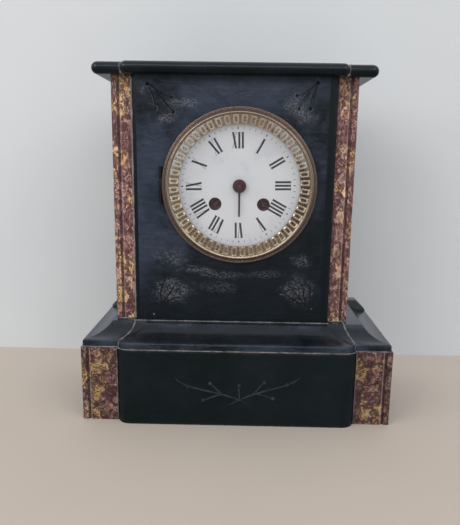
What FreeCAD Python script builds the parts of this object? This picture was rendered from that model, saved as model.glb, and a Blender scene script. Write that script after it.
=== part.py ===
import FreeCAD, Part
import math
import os
import Sketcher

from FreeCAD import Placement, Rotation, Vector

# Black slate and marble mantel clock with a round striking movement.
# X runs to the right as one faces the dial, Y to the back and Z up. The origin is
# under the middle of the clock, on the surface that it stands on.

SIZES = {
    # plinth of the case
    "base_width": 281, "base_height": 70, "base_center_width": 216, "center_proud": 7.5,
    "base_corner": 12, "marble_thick": 12, "groove_from_edge": 4.7,
    "groove_width": 2.6, "groove_depth": 1.2, "base_wall": 12, "ledge_depth": 32,
    "base_back_inset": 2, "base_back_thick": 12, "base_back_chamfer": 10,
    # hollow moulding on the plinth
    "moulding_height": 18, "nose_inset": 1.5, "nose_height": 5, "nose_round": 1.5,
    "moulding_run": 22.7, "cove_radius": 25.2, "moulding_inner": 51,
    # upper case, which sits a little left of the plinth's middle
    "body_width": 217, "body_shift": -5.6, "body_depth": 92, "body_height": 220,
    "panel_width": 181.6, "panel_proud": 7, "panel_round": 6, "panel_thick": 16,
    "side_thick": 10, "back_thick": 10, "back_hole_radius": 50.5,
    # cornice
    "cornice_thick": 10.4, "cornice_front": 12.4, "cornice_side": 14.8, "cornice_step": 6,
    "cornice_center_width": 195.4, "cornice_round": 5.1, "cornice_corner": 6,
    # bezel, glass and dial
    "dial_height": 214, "bezel_radius": 68, "rim_width": 5.4, "rim_height": 6.2,
    "rim_step": 1.5, "rim_step_height": 1.9, "rim_lip": 1.1, "rim_lip_thick": 1.6,
    "flange_width": 4.3, "flange_thick": 1.5, "drum_wall": 1.5, "drum_clear": 0.5,
    "seat_depth": 11.5, "seat_thick": 1.5, "seat_radius": 47, "door_gap": 0.3,
    "glass_thick": 1.8, "slip_width": 7.75, "slip_depth": 9.3, "slip_thick": 0.8,
    "slip_flange": 1.2, "dial_thick": 1.8, "dial_hole": 3.2, "winding_hole": 5.3,
    "dial_seat_gap": 0.2, "foot_radius": 1,
    "hinge_reach": 2, "hinge_radius": 1.35, "hinge_length": 33, "hinge_pin_radius": 0.6,
    "hinge_gap": 0.3, "running_gap": 0.05, "hinge_leaf": 0.8,
    "hand_length": 28, "hand_hub": 5.7, "hand_thick": 1, "hand_root": 1.5, "hand_tip": 2.4,
    # back ring, back cover and the straps between the two rings
    "ring_radius": 56, "ring_inner": 43, "ring_thick": 1.4, "spigot_wall": 1.3,
    "spigot_depth": 6, "cover_radius": 51, "cover_depth": 3.5, "cover_wall": 1,
    "knob_radius": 3, "knob_reach": 2.5, "cover_hinge_radius": 1.5, "cover_hinge_length": 20,
    "strap_out": 57.6, "strap_thick": 1.6, "strap_width": 10,
    "strap_front_foot": 8, "screw_circle": 47, "screw_radius": 1.5, "screw_head": 2.7,
    "screw_head_thick": 1.5, "strap_back_gap": 2,
    # movement frame
    "plate_radius": 46, "plate_thick": 1.8, "plate_behind_seat": 3.5, "plate_gap": 34.2,
    "pillar_place_radius": 41, "pillar_radius": 2.6, "pillar_pin_radius": 1.4, "boss_radius": 2,
    # going train: tooth counts and modules
    "barrel_teeth": 72, "barrel_module": 0.5, "second_pinion": 12,
    "second_teeth": 60, "second_module": 0.45, "center_pinion": 10,
    "center_teeth": 80, "center_module": 0.35, "third_pinion": 8,
    "third_teeth": 70, "third_module": 0.32, "escape_pinion": 7,
    "escape_teeth": 48, "escape_radius": 8, "anchor_above_escape": 11,
    "winding_across": 22, "winding_below": 16.5, "pendulum_length": 140,
    # motion work
    "cannon_teeth": 12, "minute_teeth": 36, "cannon_module": 0.5,
    "minute_pinion": 10, "hour_teeth": 40, "hour_module": 0.48,
    # strike train
    "strike_second_teeth": 72, "strike_second_module": 0.38, "pin_wheel_pinion": 8,
    "pin_wheel_teeth": 60, "pin_wheel_module": 0.4, "locking_pinion": 6,
    "locking_teeth": 56, "locking_module": 0.33, "fly_pinion": 7,
    "pin_wheel_bearing": 107.7, "locking_bearing": 52.7, "fly_bearing": 150,
    "strike_pins": 10, "strike_pin_circle": 9.5, "count_radius": 12, "count_notch": 2,
    # tooth form, as shares of the module and of the pitch
    "tip_share": 0.75, "root_share": 1.2, "tooth_root_share": 0.28, "tooth_tip_share": 0.1,
    # arbors, drums and springs
    "wheel_thick": 1.2, "pinion_length": 3.6, "arbor_radius": 0.9, "pivot_radius": 0.6,
    "drum_radius": 16.3, "drum_height": 14, "drum_skin": 1, "drum_from_plate": 1.2,
    "winding_radius": 2.2, "winding_core": 5, "winding_square": 3.4, "ratchet_radius": 6.5,
    "ratchet_teeth": 24, "ratchet_thick": 1.4, "spring_thick": 0.5, "spring_gap": 0.6,
    "spring_turns": 8, "click_length": 9, "click_width": 3, "click_pivot": 1,
    "click_bearing": 60, "layer_gap": 0.6,
    # hammer, bell and pendulum
    "bell_radius": 30, "bell_depth": 16, "bell_thick": 1.6, "bell_behind_plate": 12.2,
    "post_radius": 2, "post_across": 14, "hammer_across": 36, "hammer_above": 20,
    "hammer_head_radius": 3, "hammer_head_length": 8, "hammer_gap": 0.5, "hammer_bearing": 120,
    "hammer_arbor": 1, "fly_span": 11, "fly_length": 10, "fly_thick": 0.4,
    "bob_radius": 16, "bob_thick": 7, "rod_radius": 1, "pendulum_behind_plate": 6.4,
    "nut_radius": 3, "nut_height": 3, "spring_width": 3, "spring_leaf": 0.25,
    "crutch_length": 26, "cock_width": 26, "cock_height": 10, "cock_stand": 3, "cock_thick": 1.4,
    # overrun of cutting tools
    "overrun": 1,
}

doc = FreeCAD.newDocument("mantel_clock")
sheet = doc.addObject("Spreadsheet::Sheet", "Sizes")
for row, (alias, length) in enumerate(SIZES.items(), start=1):
    sheet.set(f"A{row}", alias)
    sheet.set(f"B{row}", str(length))
    sheet.setAlias(f"B{row}", alias)
doc.recompute()


class Size:
    """A length together with the spreadsheet expression that gives it."""

    def __init__(self, value, text):
        self.value = float(value)
        self.text = text

    def __add__(self, other):
        return Size(self.value + number(other), f"({self.text} + {words(other)})")

    def __radd__(self, other):
        return Size(number(other) + self.value, f"({words(other)} + {self.text})")

    def __sub__(self, other):
        return Size(self.value - number(other), f"({self.text} - {words(other)})")

    def __rsub__(self, other):
        return Size(number(other) - self.value, f"({words(other)} - {self.text})")

    def __mul__(self, other):
        return Size(self.value * number(other), f"({self.text} * {words(other)})")

    def __rmul__(self, other):
        return Size(number(other) * self.value, f"({words(other)} * {self.text})")

    def __truediv__(self, other):
        return Size(self.value / number(other), f"({self.text} / {words(other)})")

    def __neg__(self):
        return Size(-self.value, f"(0 - {self.text})")


def number(quantity):
    return quantity.value if isinstance(quantity, Size) else float(quantity)


def words(quantity):
    return quantity.text if isinstance(quantity, Size) else repr(float(quantity))


class Namespace:
    pass


d = Namespace()
for alias in SIZES:
    setattr(d, alias, Size(sheet.get(alias), f"Sizes.{alias}"))

nodes = {}


def keep(name, thing):
    """Register a finished sub-part under its own label."""
    thing.Label = name
    nodes[name] = thing
    return thing


def bind(thing, prop, quantity):
    """Set one property of an object from a size and bind it to the sheet."""
    if isinstance(quantity, Size):
        thing.setExpression(prop, quantity.text)


def place(thing, x=0, y=0, z=0, rotation=None):
    base = Vector(number(x), number(y), number(z))
    thing.Placement = Placement(base, rotation or Rotation())
    for axis, quantity in (("x", x), ("y", y), ("z", z)):
        bind(thing, f"Placement.Base.{axis}", quantity)
    return thing


def block(label, across, back, up):
    """A box between pairs of planes across (X), back (Y) and up (Z)."""
    box = doc.addObject("Part::Box", label)
    for prop, (low, high) in (("Length", across), ("Width", back), ("Height", up)):
        setattr(box, prop, number(high) - number(low))
        bind(box, prop, high - low)
    return place(box, across[0], back[0], up[0])


ALONG_Y = Rotation(Vector(1, 0, 0), -90)
ALONG_X = Rotation(Vector(0, 1, 0), 90)


def rod(label, radius, start, length, x=0, z=0, rotation=ALONG_Y):
    """A cylinder that starts at Y = start and runs back."""
    cylinder = doc.addObject("Part::Cylinder", label)
    cylinder.Radius = number(radius)
    cylinder.Height = number(length)
    bind(cylinder, "Radius", radius)
    bind(cylinder, "Height", length)
    return place(cylinder, x, start, z, rotation)


def upright(label, radius, x, y, low, high):
    """A cylinder that stands along Z."""
    cylinder = doc.addObject("Part::Cylinder", label)
    cylinder.Radius = number(radius)
    cylinder.Height = number(high) - number(low)
    bind(cylinder, "Radius", radius)
    bind(cylinder, "Height", high - low)
    return place(cylinder, x, y, low)


def cut(label, base, tool):
    result = doc.addObject("Part::Cut", label)
    result.Base = base
    result.Tool = tool
    return result


def common(label, base, tool):
    result = doc.addObject("Part::Common", label)
    result.Base = base
    result.Tool = tool
    return result


def fuse(label, *pieces):
    result = doc.addObject("Part::MultiFuse", label)
    result.Shapes = list(pieces)
    return result


def arc_middle(start, end, radius, turn):
    """The middle of the short arc from start to end that bends left (1) or right (-1)."""
    chord = end - start
    half = chord.Length / 2
    sagitta = radius - math.sqrt(max(radius * radius - half * half, 0))
    side = Vector(chord.y, -chord.x, 0).normalize() * turn
    return (start + end) / 2 + side * sagitta


def outline(body, plane, path):
    """A closed outline on one of the body's origin planes.

    A point of the path is (u, v), or (u, v, radius, turn) where an arc arrives at it.
    """
    sketch = body.newObject("Sketcher::SketchObject", "Outline")
    origin_plane = [f for f in body.Origin.OriginFeatures if f.Role == plane][0]
    sketch.AttachmentSupport = [(origin_plane, "")]
    sketch.MapMode = "FlatFace"
    corners = [Vector(number(p[0]), number(p[1]), 0) for p in path]
    for index, point in enumerate(path):
        start, end = corners[index - 1], corners[index]
        if len(point) == 4:
            middle = arc_middle(start, end, number(point[2]), point[3])
            first, last = (start, end) if point[3] > 0 else (end, start)
            sketch.addGeometry(Part.Arc(first, middle, last), False)
        else:
            sketch.addGeometry(Part.LineSegment(start, end), False)

    def constrain(quantity, *definition):
        position = sketch.addConstraint(Sketcher.Constraint(*definition, number(quantity)))
        if isinstance(quantity, Size):
            sketch.setExpression(f"Constraints[{position}]", quantity.text)

    # an arc that bends right is drawn from its far end
    ends = []
    for index, geometry in enumerate(sketch.Geometry):
        starts_first = geometry.StartPoint.distanceToPoint(corners[index - 1]) < 1e-6
        ends.append((1, 2) if starts_first else (2, 1))
    for index, point in enumerate(path):
        after = (index + 1) % len(path)
        joint = ("Coincident", index, ends[index][1], after, ends[after][0])
        sketch.addConstraint(Sketcher.Constraint(*joint))
        constrain(point[0], "DistanceX", index, ends[index][1])
        constrain(point[1], "DistanceY", index, ends[index][1])
        if len(point) == 4:
            constrain(point[2], "Radius", index)
    return sketch


def prism(label, plane, path, start, length, x=0, y=0, z=0):
    """An outline padded square to its plane, from start along +X, +Y or +Z."""
    body = doc.addObject("PartDesign::Body", label)
    pad = body.newObject("PartDesign::Pad", "Pad")
    sketch = outline(body, plane, path)
    pad.Profile = sketch
    pad.Length = number(length)
    bind(pad, "Length", length)
    pad.Reversed = plane == "XZ_Plane"
    body.Tip = pad
    shift = {"XY_Plane": (x, y, z + start), "XZ_Plane": (x, y + start, z),
             "YZ_Plane": (x + start, y, z)}[plane]
    place(body, *shift)
    return body


def turned(label, path, x=0, y=0, z=0, plane="XY_Plane"):
    """A turned piece: (radius, along) points swept about Y, or about Z on the XZ plane."""
    body = doc.addObject("PartDesign::Body", label)
    spin = body.newObject("PartDesign::Revolution", "Revolution")
    sketch = outline(body, plane, path)
    spin.Profile = sketch
    spin.ReferenceAxis = (sketch, ["V_Axis"])
    spin.Angle = 360
    body.Tip = spin
    return place(body, x, y, z)


def feature(label, shape, x=0, y=0, z=0):
    """A shape made from the sheet's sizes, then moved to its place."""
    thing = doc.addObject("Part::Feature", label)
    thing.Shape = shape
    thing.Placement = Placement(Vector(number(x), number(y), number(z)), Rotation())
    return keep(label, thing)


# Planes that the whole case shares

cover_reach = d.ring_thick + d.door_gap + d.cover_depth + d.knob_reach
overall_depth = d.center_proud + d.ledge_depth + d.body_depth + cover_reach
block_face = -overall_depth / 2
marble_face = block_face + d.center_proud
face = marble_face + d.ledge_depth
marble_back = marble_face + d.marble_thick
case_end = face + d.body_depth
base_back_front = case_end - d.base_back_thick
half_base = d.base_width / 2
half_center = d.base_center_width / 2
shelf = d.base_height + d.moulding_height
body_top = shelf + d.body_height
half_body = d.body_width / 2
half_panel = d.panel_width / 2
axis_z = d.dial_height


# Plinth: a black slate front block with rounded corners between two marble blocks

corner = d.base_corner
keep("base_front_block", prism("base_front_block", "XY_Plane", [
    (-half_center, marble_back),
    (-half_center, block_face + corner),
    (corner - half_center, block_face, corner, 1),
    (half_center - corner, block_face),
    (half_center, block_face + corner, corner, 1),
    (half_center, marble_back),
], 0, d.base_height))


def marble_outline(inner, outer, side, front, back):
    """A marble slab's plan, with an upright groove cut near its outer front edge."""
    near = outer - side * d.groove_from_edge
    far = near - side * d.groove_width
    bottom = front + d.groove_depth
    return [(outer, back), (outer, front), (near, front), (near, bottom), (far, bottom),
            (far, front), (inner, front), (inner, back)]


for side, word in ((-1, "left"), (1, "right")):
    name = f"base_marble_{word}"
    plan = marble_outline(side * half_center, side * half_base, side, marble_face, marble_back)
    keep(name, prism(name, "XY_Plane", plan, 0, d.base_height))
    outer, inner = half_base, half_base - d.base_wall
    across = (inner, outer) if side > 0 else (-outer, -inner)
    name = f"base_side_{word}"
    keep(name, block(name, across, (marble_back, base_back_front), (0, d.base_height)))

half_back = half_base - d.base_back_inset
cut_off = d.base_back_chamfer
keep("base_back_slab", prism("base_back_slab", "XZ_Plane", [
    (-half_back, 0), (half_back, 0), (half_back, shelf - cut_off), (half_back - cut_off, shelf),
    (cut_off - half_back, shelf), (-half_back, shelf - cut_off),
], base_back_front, d.base_back_thick))

# Hollow moulding: one front length with mitred returns between two end lengths

moulding_reach = d.nose_inset + d.moulding_run


def moulding_path(front, side):
    """The moulding's section, from its foot up over nose and cove to the flat top.

    The distance in from the block's face is counted along side (1 or -1).
    """
    nose = front + side * d.nose_inset
    nose_top = d.nose_height + d.nose_round
    turn = -side
    return [
        (nose, 0), (nose, d.nose_height),
        (nose + side * d.nose_round, nose_top, d.nose_round, turn),
        (nose + side * d.moulding_run, d.moulding_height, d.cove_radius, -turn),
    ]


def front_moulding(label, front, half_width):
    """The front section run across the clock."""
    back = face + d.marble_thick
    path = moulding_path(front, 1) + [(back, d.moulding_height), (back, 0)]
    return prism(label, "YZ_Plane", path, -half_width, half_width * 2, z=d.base_height)


def end_moulding(label, half_width, start, end):
    """The section with its nose on both sides, run from front to back."""
    nose = half_width - d.nose_inset
    path = moulding_path(-half_width, 1) + [
        (half_width - moulding_reach, d.moulding_height),
        (nose - d.nose_round, d.nose_height + d.nose_round, d.cove_radius, 1),
        (nose, d.nose_height, d.nose_round, -1), (nose, 0),
    ]
    return prism(label, "XZ_Plane", path, start, end - start, z=d.base_height)


back_of_front = face + d.marble_thick


def trimmed(label, moulding, plan):
    """A length of moulding kept inside a plan, so that its ends are mitred."""
    keeper = prism(f"{label}_plan", "XY_Plane", plan, d.base_height - d.overrun,
                   d.moulding_height + d.overrun * 2)
    return common(label, moulding, keeper)


# the valley where an end length meets the front length, and the mitre at each corner
valley_x = half_center - moulding_reach
valley_y = marble_face + moulding_reach
mitre = back_of_front - block_face
front_run = trimmed("center_run", front_moulding("center_section", block_face, half_center), [
    (-half_center, block_face), (half_center, block_face),
    (half_center - mitre, back_of_front), (mitre - half_center, back_of_front),
])
returns = [front_run]
for side, word in ((-1, "left"), (1, "right")):
    section = end_moulding(f"center_end_{word}", half_center, block_face, back_of_front)
    returns.append(trimmed(f"center_return_{word}", section, [
        (side * half_center, block_face), (side * half_center, marble_face),
        (side * valley_x, valley_y), (side * valley_x, back_of_front),
        (side * (half_center - mitre), back_of_front),
    ]))
mitred = fuse("center_mitred", *returns)
nose_corner = corner - d.nose_inset
nose_half = half_center - d.nose_inset
nose_face = block_face + d.nose_inset
rounded = prism("rounded_returns", "XY_Plane", [
    (-nose_half, back_of_front), (-nose_half, nose_face + nose_corner),
    (nose_corner - nose_half, nose_face, nose_corner, 1), (nose_half - nose_corner, nose_face),
    (nose_half, nose_face + nose_corner, nose_corner, 1), (nose_half, back_of_front),
], d.base_height - d.overrun, d.moulding_height + d.overrun * 2)
keep("moulding_center", common("moulding_center", mitred, rounded))

end_mitre = back_of_front - marble_face
for side, word in ((-1, "left"), (1, "right")):
    inner = half_base - d.moulding_inner
    front_part = trimmed(
        f"end_front_{word}", front_moulding(f"end_section_{word}", marble_face, half_base), [
            (side * half_center, marble_face), (side * half_base, marble_face),
            (side * (half_base - end_mitre), back_of_front),
            (side * valley_x, back_of_front), (side * valley_x, valley_y),
        ])
    section = end_moulding(f"end_side_{word}", half_base, marble_face, base_back_front)
    side_part = trimmed(f"end_return_{word}", section, [
        (side * half_base, marble_face), (side * half_base, base_back_front),
        (side * inner, base_back_front), (side * inner, back_of_front),
        (side * (half_base - end_mitre), back_of_front),
    ])
    name = f"moulding_{word}"
    keep(name, fuse(name, front_part, side_part))

# Upper case: front panel with the movement's round hole, marble pilasters, sides and back

panel_face = face - d.panel_proud
panel_back = panel_face + d.panel_thick
case_hole = d.bezel_radius - d.rim_width + d.drum_wall + d.drum_clear
around = d.panel_round
panel = prism("panel_slab", "XY_Plane", [
    (d.body_shift - half_panel, panel_back),
    (d.body_shift - half_panel, panel_face + around),
    (d.body_shift - half_panel + around, panel_face, around, 1),
    (d.body_shift + half_panel - around, panel_face),
    (d.body_shift + half_panel, panel_face + around, around, 1),
    (d.body_shift + half_panel, panel_back),
], shelf, d.body_height)
panel_hole = rod("panel_hole", case_hole, panel_face - d.overrun,
                 d.panel_thick + d.overrun * 2, 0, axis_z)
keep("front_panel", cut("front_panel", panel, panel_hole))

pilaster_back = face + d.marble_thick
wall_front = face + d.marble_thick
wall_back = case_end - d.back_thick
for side, word in ((-1, "left"), (1, "right")):
    outer = d.body_shift + side * half_body
    inner = d.body_shift + side * half_panel
    name = f"pilaster_{word}"
    plan = marble_outline(inner, outer, side, face, pilaster_back)
    keep(name, prism(name, "XY_Plane", plan, shelf, d.body_height))
    wall_inner = outer - side * d.side_thick
    across = (wall_inner, outer) if side > 0 else (outer, wall_inner)
    name = f"side_panel_{word}"
    keep(name, block(name, across, (wall_front, wall_back), (shelf, body_top)))

back_slab = block("back_slab", (d.body_shift - half_body, d.body_shift + half_body),
                  (wall_back, case_end), (shelf, body_top))
back_hole = rod("back_hole", d.back_hole_radius, wall_back - d.overrun,
                d.back_thick + d.overrun * 2, 0, axis_z)
keep("case_back", cut("case_back", back_slab, back_hole))


# Cornice: three slabs with fully rounded edges

def rounded_slab(label, path, edges, start, length):
    """A slab whose chosen top and bottom edges are rounded into a bull nose."""
    body = doc.addObject("PartDesign::Body", label)
    pad = body.newObject("PartDesign::Pad", "Pad")
    pad.Profile = outline(body, "XY_Plane", path)
    pad.Length = number(length)
    bind(pad, "Length", length)
    body.Tip = pad
    place(body, 0, 0, start)
    doc.recompute()
    names = []
    for index, edge in enumerate(pad.Shape.Edges, start=1):
        middle = edge.valueAt((edge.FirstParameter + edge.LastParameter) / 2)
        level = abs(edge.BoundBox.ZLength) < 1e-6
        if level and edges(middle):
            names.append(f"Edge{index}")
    nose = body.newObject("PartDesign::Fillet", "Fillet")
    nose.Base = (pad, names)
    nose.Radius = d.cornice_round.value
    bind(nose, "Radius", d.cornice_round)
    body.Tip = nose
    return keep(label, body)


cornice_half = half_body + d.cornice_side
cornice_joint = d.cornice_center_width / 2
side_front = face - d.cornice_front
center_front = side_front - d.cornice_step
turn_in = d.cornice_corner
rounded_slab("cornice_center", [
    (d.body_shift - cornice_joint, case_end),
    (d.body_shift - cornice_joint, center_front + turn_in),
    (d.body_shift - cornice_joint + turn_in, center_front, turn_in, 1),
    (d.body_shift + cornice_joint - turn_in, center_front),
    (d.body_shift + cornice_joint, center_front + turn_in, turn_in, 1),
    (d.body_shift + cornice_joint, case_end),
], lambda middle: middle.y < (center_front + turn_in).value - 1e-3, body_top, d.cornice_thick)

for side, word in ((-1, "left"), (1, "right")):
    outer = d.body_shift + side * cornice_half
    inner = d.body_shift + side * cornice_joint
    limit = outer.value - side * d.cornice_corner.value
    plan = [
        (inner, case_end), (inner, side_front), (outer - side * turn_in, side_front),
        (outer, side_front + turn_in, turn_in, side), (outer, case_end),
    ]

    def on_show(middle, side=side, outer=outer):
        at_front = middle.y < side_front.value + turn_in.value - 1e-3
        at_side = side * (middle.x - outer.value) > -1e-3
        return at_front or at_side

    rounded_slab(f"cornice_{word}", plan, on_show, body_top, d.cornice_thick)

# Front bezel: a fixed drum with a flange on the panel and a seat behind the dial

rim_inner = d.bezel_radius - d.rim_width
drum_radius = rim_inner - d.door_gap
flange_front = panel_face - d.flange_thick
seat_back = panel_face + d.seat_depth
seat_front = seat_back - d.seat_thick
flange_edge = drum_radius + d.flange_width
ring = turned("bezel_drum", [
    (drum_radius, flange_front), (flange_edge, flange_front), (flange_edge, panel_face),
    (drum_radius + d.drum_wall, panel_face), (drum_radius + d.drum_wall, seat_back),
    (d.seat_radius, seat_back), (d.seat_radius, seat_front), (drum_radius, seat_front),
], z=axis_z)

hinge_x = -(d.bezel_radius + d.hinge_reach)
door_back = flange_front - d.door_gap
hinge_y = door_back - d.hinge_leaf / 2
third = d.hinge_length / 3
hinge_low = axis_z - d.hinge_length / 2
hinge_high = axis_z + d.hinge_length / 2
leaf_front = flange_front
fixed = [ring]
for word, low, high in (("low", hinge_low, hinge_low + third - d.hinge_gap),
                        ("high", hinge_high - third + d.hinge_gap, hinge_high)):
    knuckle = upright(f"fixed_knuckle_{word}", d.hinge_radius, hinge_x, hinge_y, low, high)
    leaf = block(f"fixed_leaf_{word}", (hinge_x, d.hinge_reach - drum_radius - d.flange_width),
                 (leaf_front, leaf_front + d.hinge_leaf), (low, high))
    fixed += [knuckle, leaf]
bore = upright("fixed_bore", d.hinge_pin_radius, hinge_x, hinge_y,
               hinge_low - d.overrun, hinge_high + d.overrun)
keep("bezel_ring", cut("bezel_ring", fuse("bezel_ring_whole", *fixed), bore))
keep("hinge_pin", upright("hinge_pin", d.hinge_pin_radius, hinge_x, hinge_y,
                          hinge_low, hinge_high))

# Bezel door: turned rim, glass and the sloping gilt slip behind the glass

rim_front = door_back - d.rim_height
lip_back = rim_front + d.rim_lip_thick
crest = d.rim_width - d.rim_step
rim = turned("rim_turned", [
    (rim_inner, door_back), (d.bezel_radius, door_back),
    (d.bezel_radius, door_back - d.rim_step_height),
    (d.bezel_radius - d.rim_step, door_back - d.rim_step_height),
    (rim_inner + d.rim_lip, rim_front, crest, -1),
    (rim_inner - d.rim_lip, rim_front + d.rim_lip_thick / 2),
    (rim_inner - d.rim_lip, lip_back), (rim_inner, lip_back),
], z=axis_z)
door_knuckle = upright("door_knuckle", d.hinge_radius, hinge_x, hinge_y,
                       hinge_low + third + d.hinge_gap / 2,
                       hinge_high - third - d.hinge_gap / 2)
door_leaf = block("door_leaf", (hinge_x, d.rim_step - d.bezel_radius),
                  (door_back - d.hinge_leaf, door_back),
                  (hinge_low + third + d.hinge_gap / 2, hinge_high - third - d.hinge_gap / 2))
door_bore = upright("door_bore", d.hinge_pin_radius + d.running_gap, hinge_x, hinge_y,
                    hinge_low, hinge_high)
keep("door_rim", cut("door_rim", fuse("door_rim_whole", rim, door_knuckle, door_leaf),
                     door_bore))

glass_front = lip_back
keep("door_glass", rod("door_glass", rim_inner - d.running_gap, glass_front, d.glass_thick,
                       0, axis_z))

slip_front = glass_front + d.glass_thick
slip_back = slip_front + d.slip_depth
slip_outer = rim_inner - d.running_gap
slip_inner = slip_outer - d.slip_width
keep("gilt_slip", turned("gilt_slip", [
    (slip_outer, slip_front), (slip_outer, slip_front + d.slip_thick),
    (slip_outer - d.slip_flange, slip_front + d.slip_thick),
    (slip_inner + d.slip_thick, slip_back), (slip_inner, slip_back),
    (slip_inner, slip_back - d.slip_thick), (slip_outer - d.slip_flange, slip_front),
], z=axis_z))

# Enamel dial on three feet that go through the drum's seat

dial_back = seat_front - d.dial_seat_gap
dial_front = dial_back - d.dial_thick
winding_z = axis_z - d.winding_below
disc = rod("dial_disc", drum_radius - d.drum_clear, dial_front, d.dial_thick, 0, axis_z)
dial_holes = fuse(
    "dial_holes",
    rod("dial_center_hole", d.dial_hole, dial_front - d.overrun, d.dial_thick + d.overrun * 2,
        0, axis_z),
    rod("dial_left_hole", d.winding_hole, dial_front - d.overrun,
        d.dial_thick + d.overrun * 2, -d.winding_across, winding_z),
    rod("dial_right_hole", d.winding_hole, dial_front - d.overrun,
        d.dial_thick + d.overrun * 2, d.winding_across, winding_z),
)
pierced = cut("dial_pierced", disc, dial_holes)
feet, foot_holes = [], []
foot_circle = (drum_radius + d.seat_radius) / 2
for index, bearing in enumerate((90, 210, 330)):
    x = math.cos(math.radians(bearing)) * foot_circle
    z = axis_z + math.sin(math.radians(bearing)) * foot_circle
    feet.append(rod(f"dial_foot_{index}", d.foot_radius, dial_back,
                    seat_back - dial_back + d.seat_thick, x, z))
    foot_holes.append(rod(f"foot_hole_{index}", d.foot_radius + d.running_gap,
                          seat_front - d.overrun, d.seat_thick + d.overrun * 2, x, z))
keep("enamel_dial", fuse("enamel_dial", pierced, *feet))
nodes["bezel_ring"] = keep("bezel_ring", cut("bezel_ring_pierced", nodes["bezel_ring"],
                                             fuse("foot_holes", *foot_holes)))

# Back ring with a spigot in the case's hole, and its hinged brass cover

ring_back = case_end + d.ring_thick
spigot = d.back_hole_radius - d.running_gap * 4
back_turned = turned("back_ring_turned", [
    (d.ring_inner, case_end), (spigot - d.spigot_wall, case_end),
    (spigot - d.spigot_wall, case_end - d.spigot_depth), (spigot, case_end - d.spigot_depth),
    (spigot, case_end), (d.ring_radius, case_end), (d.ring_radius, ring_back),
    (d.ring_inner, ring_back),
], z=axis_z)
cover_front = ring_back + d.door_gap
cover_back = cover_front + d.cover_depth
cover_hinge_x = -(d.cover_radius + d.cover_hinge_radius + d.door_gap * 2)
cover_hinge_y = ring_back + d.cover_hinge_radius + d.running_gap * 4
cover_low = axis_z - d.cover_hinge_length / 2
cover_high = axis_z + d.cover_hinge_length / 2
cover_third = d.cover_hinge_length / 3
ring_knuckles = []
for word, low, high in (("low", cover_low, cover_low + cover_third - d.hinge_gap),
                        ("high", cover_high - cover_third + d.hinge_gap, cover_high)):
    ring_knuckles += [
        upright(f"ring_knuckle_{word}", d.cover_hinge_radius, cover_hinge_x, cover_hinge_y,
                low, high),
        block(f"ring_knuckle_foot_{word}",
              (cover_hinge_x - d.cover_hinge_radius / 2, cover_hinge_x
               + d.cover_hinge_radius / 2), (ring_back, cover_hinge_y), (low, high)),
    ]
ring_bore = upright("ring_bore", d.hinge_pin_radius, cover_hinge_x, cover_hinge_y,
                    cover_low - d.overrun, cover_high + d.overrun)
screw_holes = [
    rod(f"ring_screw_hole_{word}", d.screw_radius + d.running_gap, case_end - d.overrun,
        d.ring_thick + d.overrun * 2, sign * d.screw_circle, axis_z)
    for sign, word in ((-1, "left"), (1, "right"))
]
keep("back_ring", cut("back_ring", fuse("back_ring_whole", back_turned, *ring_knuckles),
                      fuse("back_ring_bores", ring_bore, *screw_holes)))
keep("back_hinge_pin", upright("back_hinge_pin", d.hinge_pin_radius, cover_hinge_x,
                               cover_hinge_y, cover_low, cover_high))

cover = turned("cover_turned", [
    (0, cover_back - d.cover_wall), (d.cover_radius - d.cover_wall, cover_back - d.cover_wall),
    (d.cover_radius - d.cover_wall, cover_front), (d.cover_radius, cover_front),
    (d.cover_radius, cover_back - d.cover_wall),
    (d.cover_radius - d.cover_wall, cover_back, d.cover_wall, 1), (0, cover_back),
], z=axis_z)
knob = rod("cover_knob", d.knob_radius, cover_back, d.knob_reach,
           d.cover_radius - d.knob_radius * 3, axis_z)
cover_knuckle = upright("cover_knuckle", d.cover_hinge_radius, cover_hinge_x, cover_hinge_y,
                        cover_low + cover_third + d.hinge_gap / 2,
                        cover_high - cover_third - d.hinge_gap / 2)
cover_leaf = block("cover_leaf", (cover_hinge_x, d.cover_wall - d.cover_radius),
                   (cover_hinge_y, cover_hinge_y + d.cover_wall),
                   (cover_low + cover_third + d.hinge_gap / 2,
                    cover_high - cover_third - d.hinge_gap / 2))
cover_bore = upright("cover_bore", d.hinge_pin_radius + d.running_gap, cover_hinge_x,
                     cover_hinge_y, cover_low, cover_high)
keep("back_cover", cut("back_cover", fuse("cover_whole", cover, knob, cover_knuckle,
                                          cover_leaf), cover_bore))

# Two straps from the drum's seat to the back ring, each drawn tight by a long screw

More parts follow.
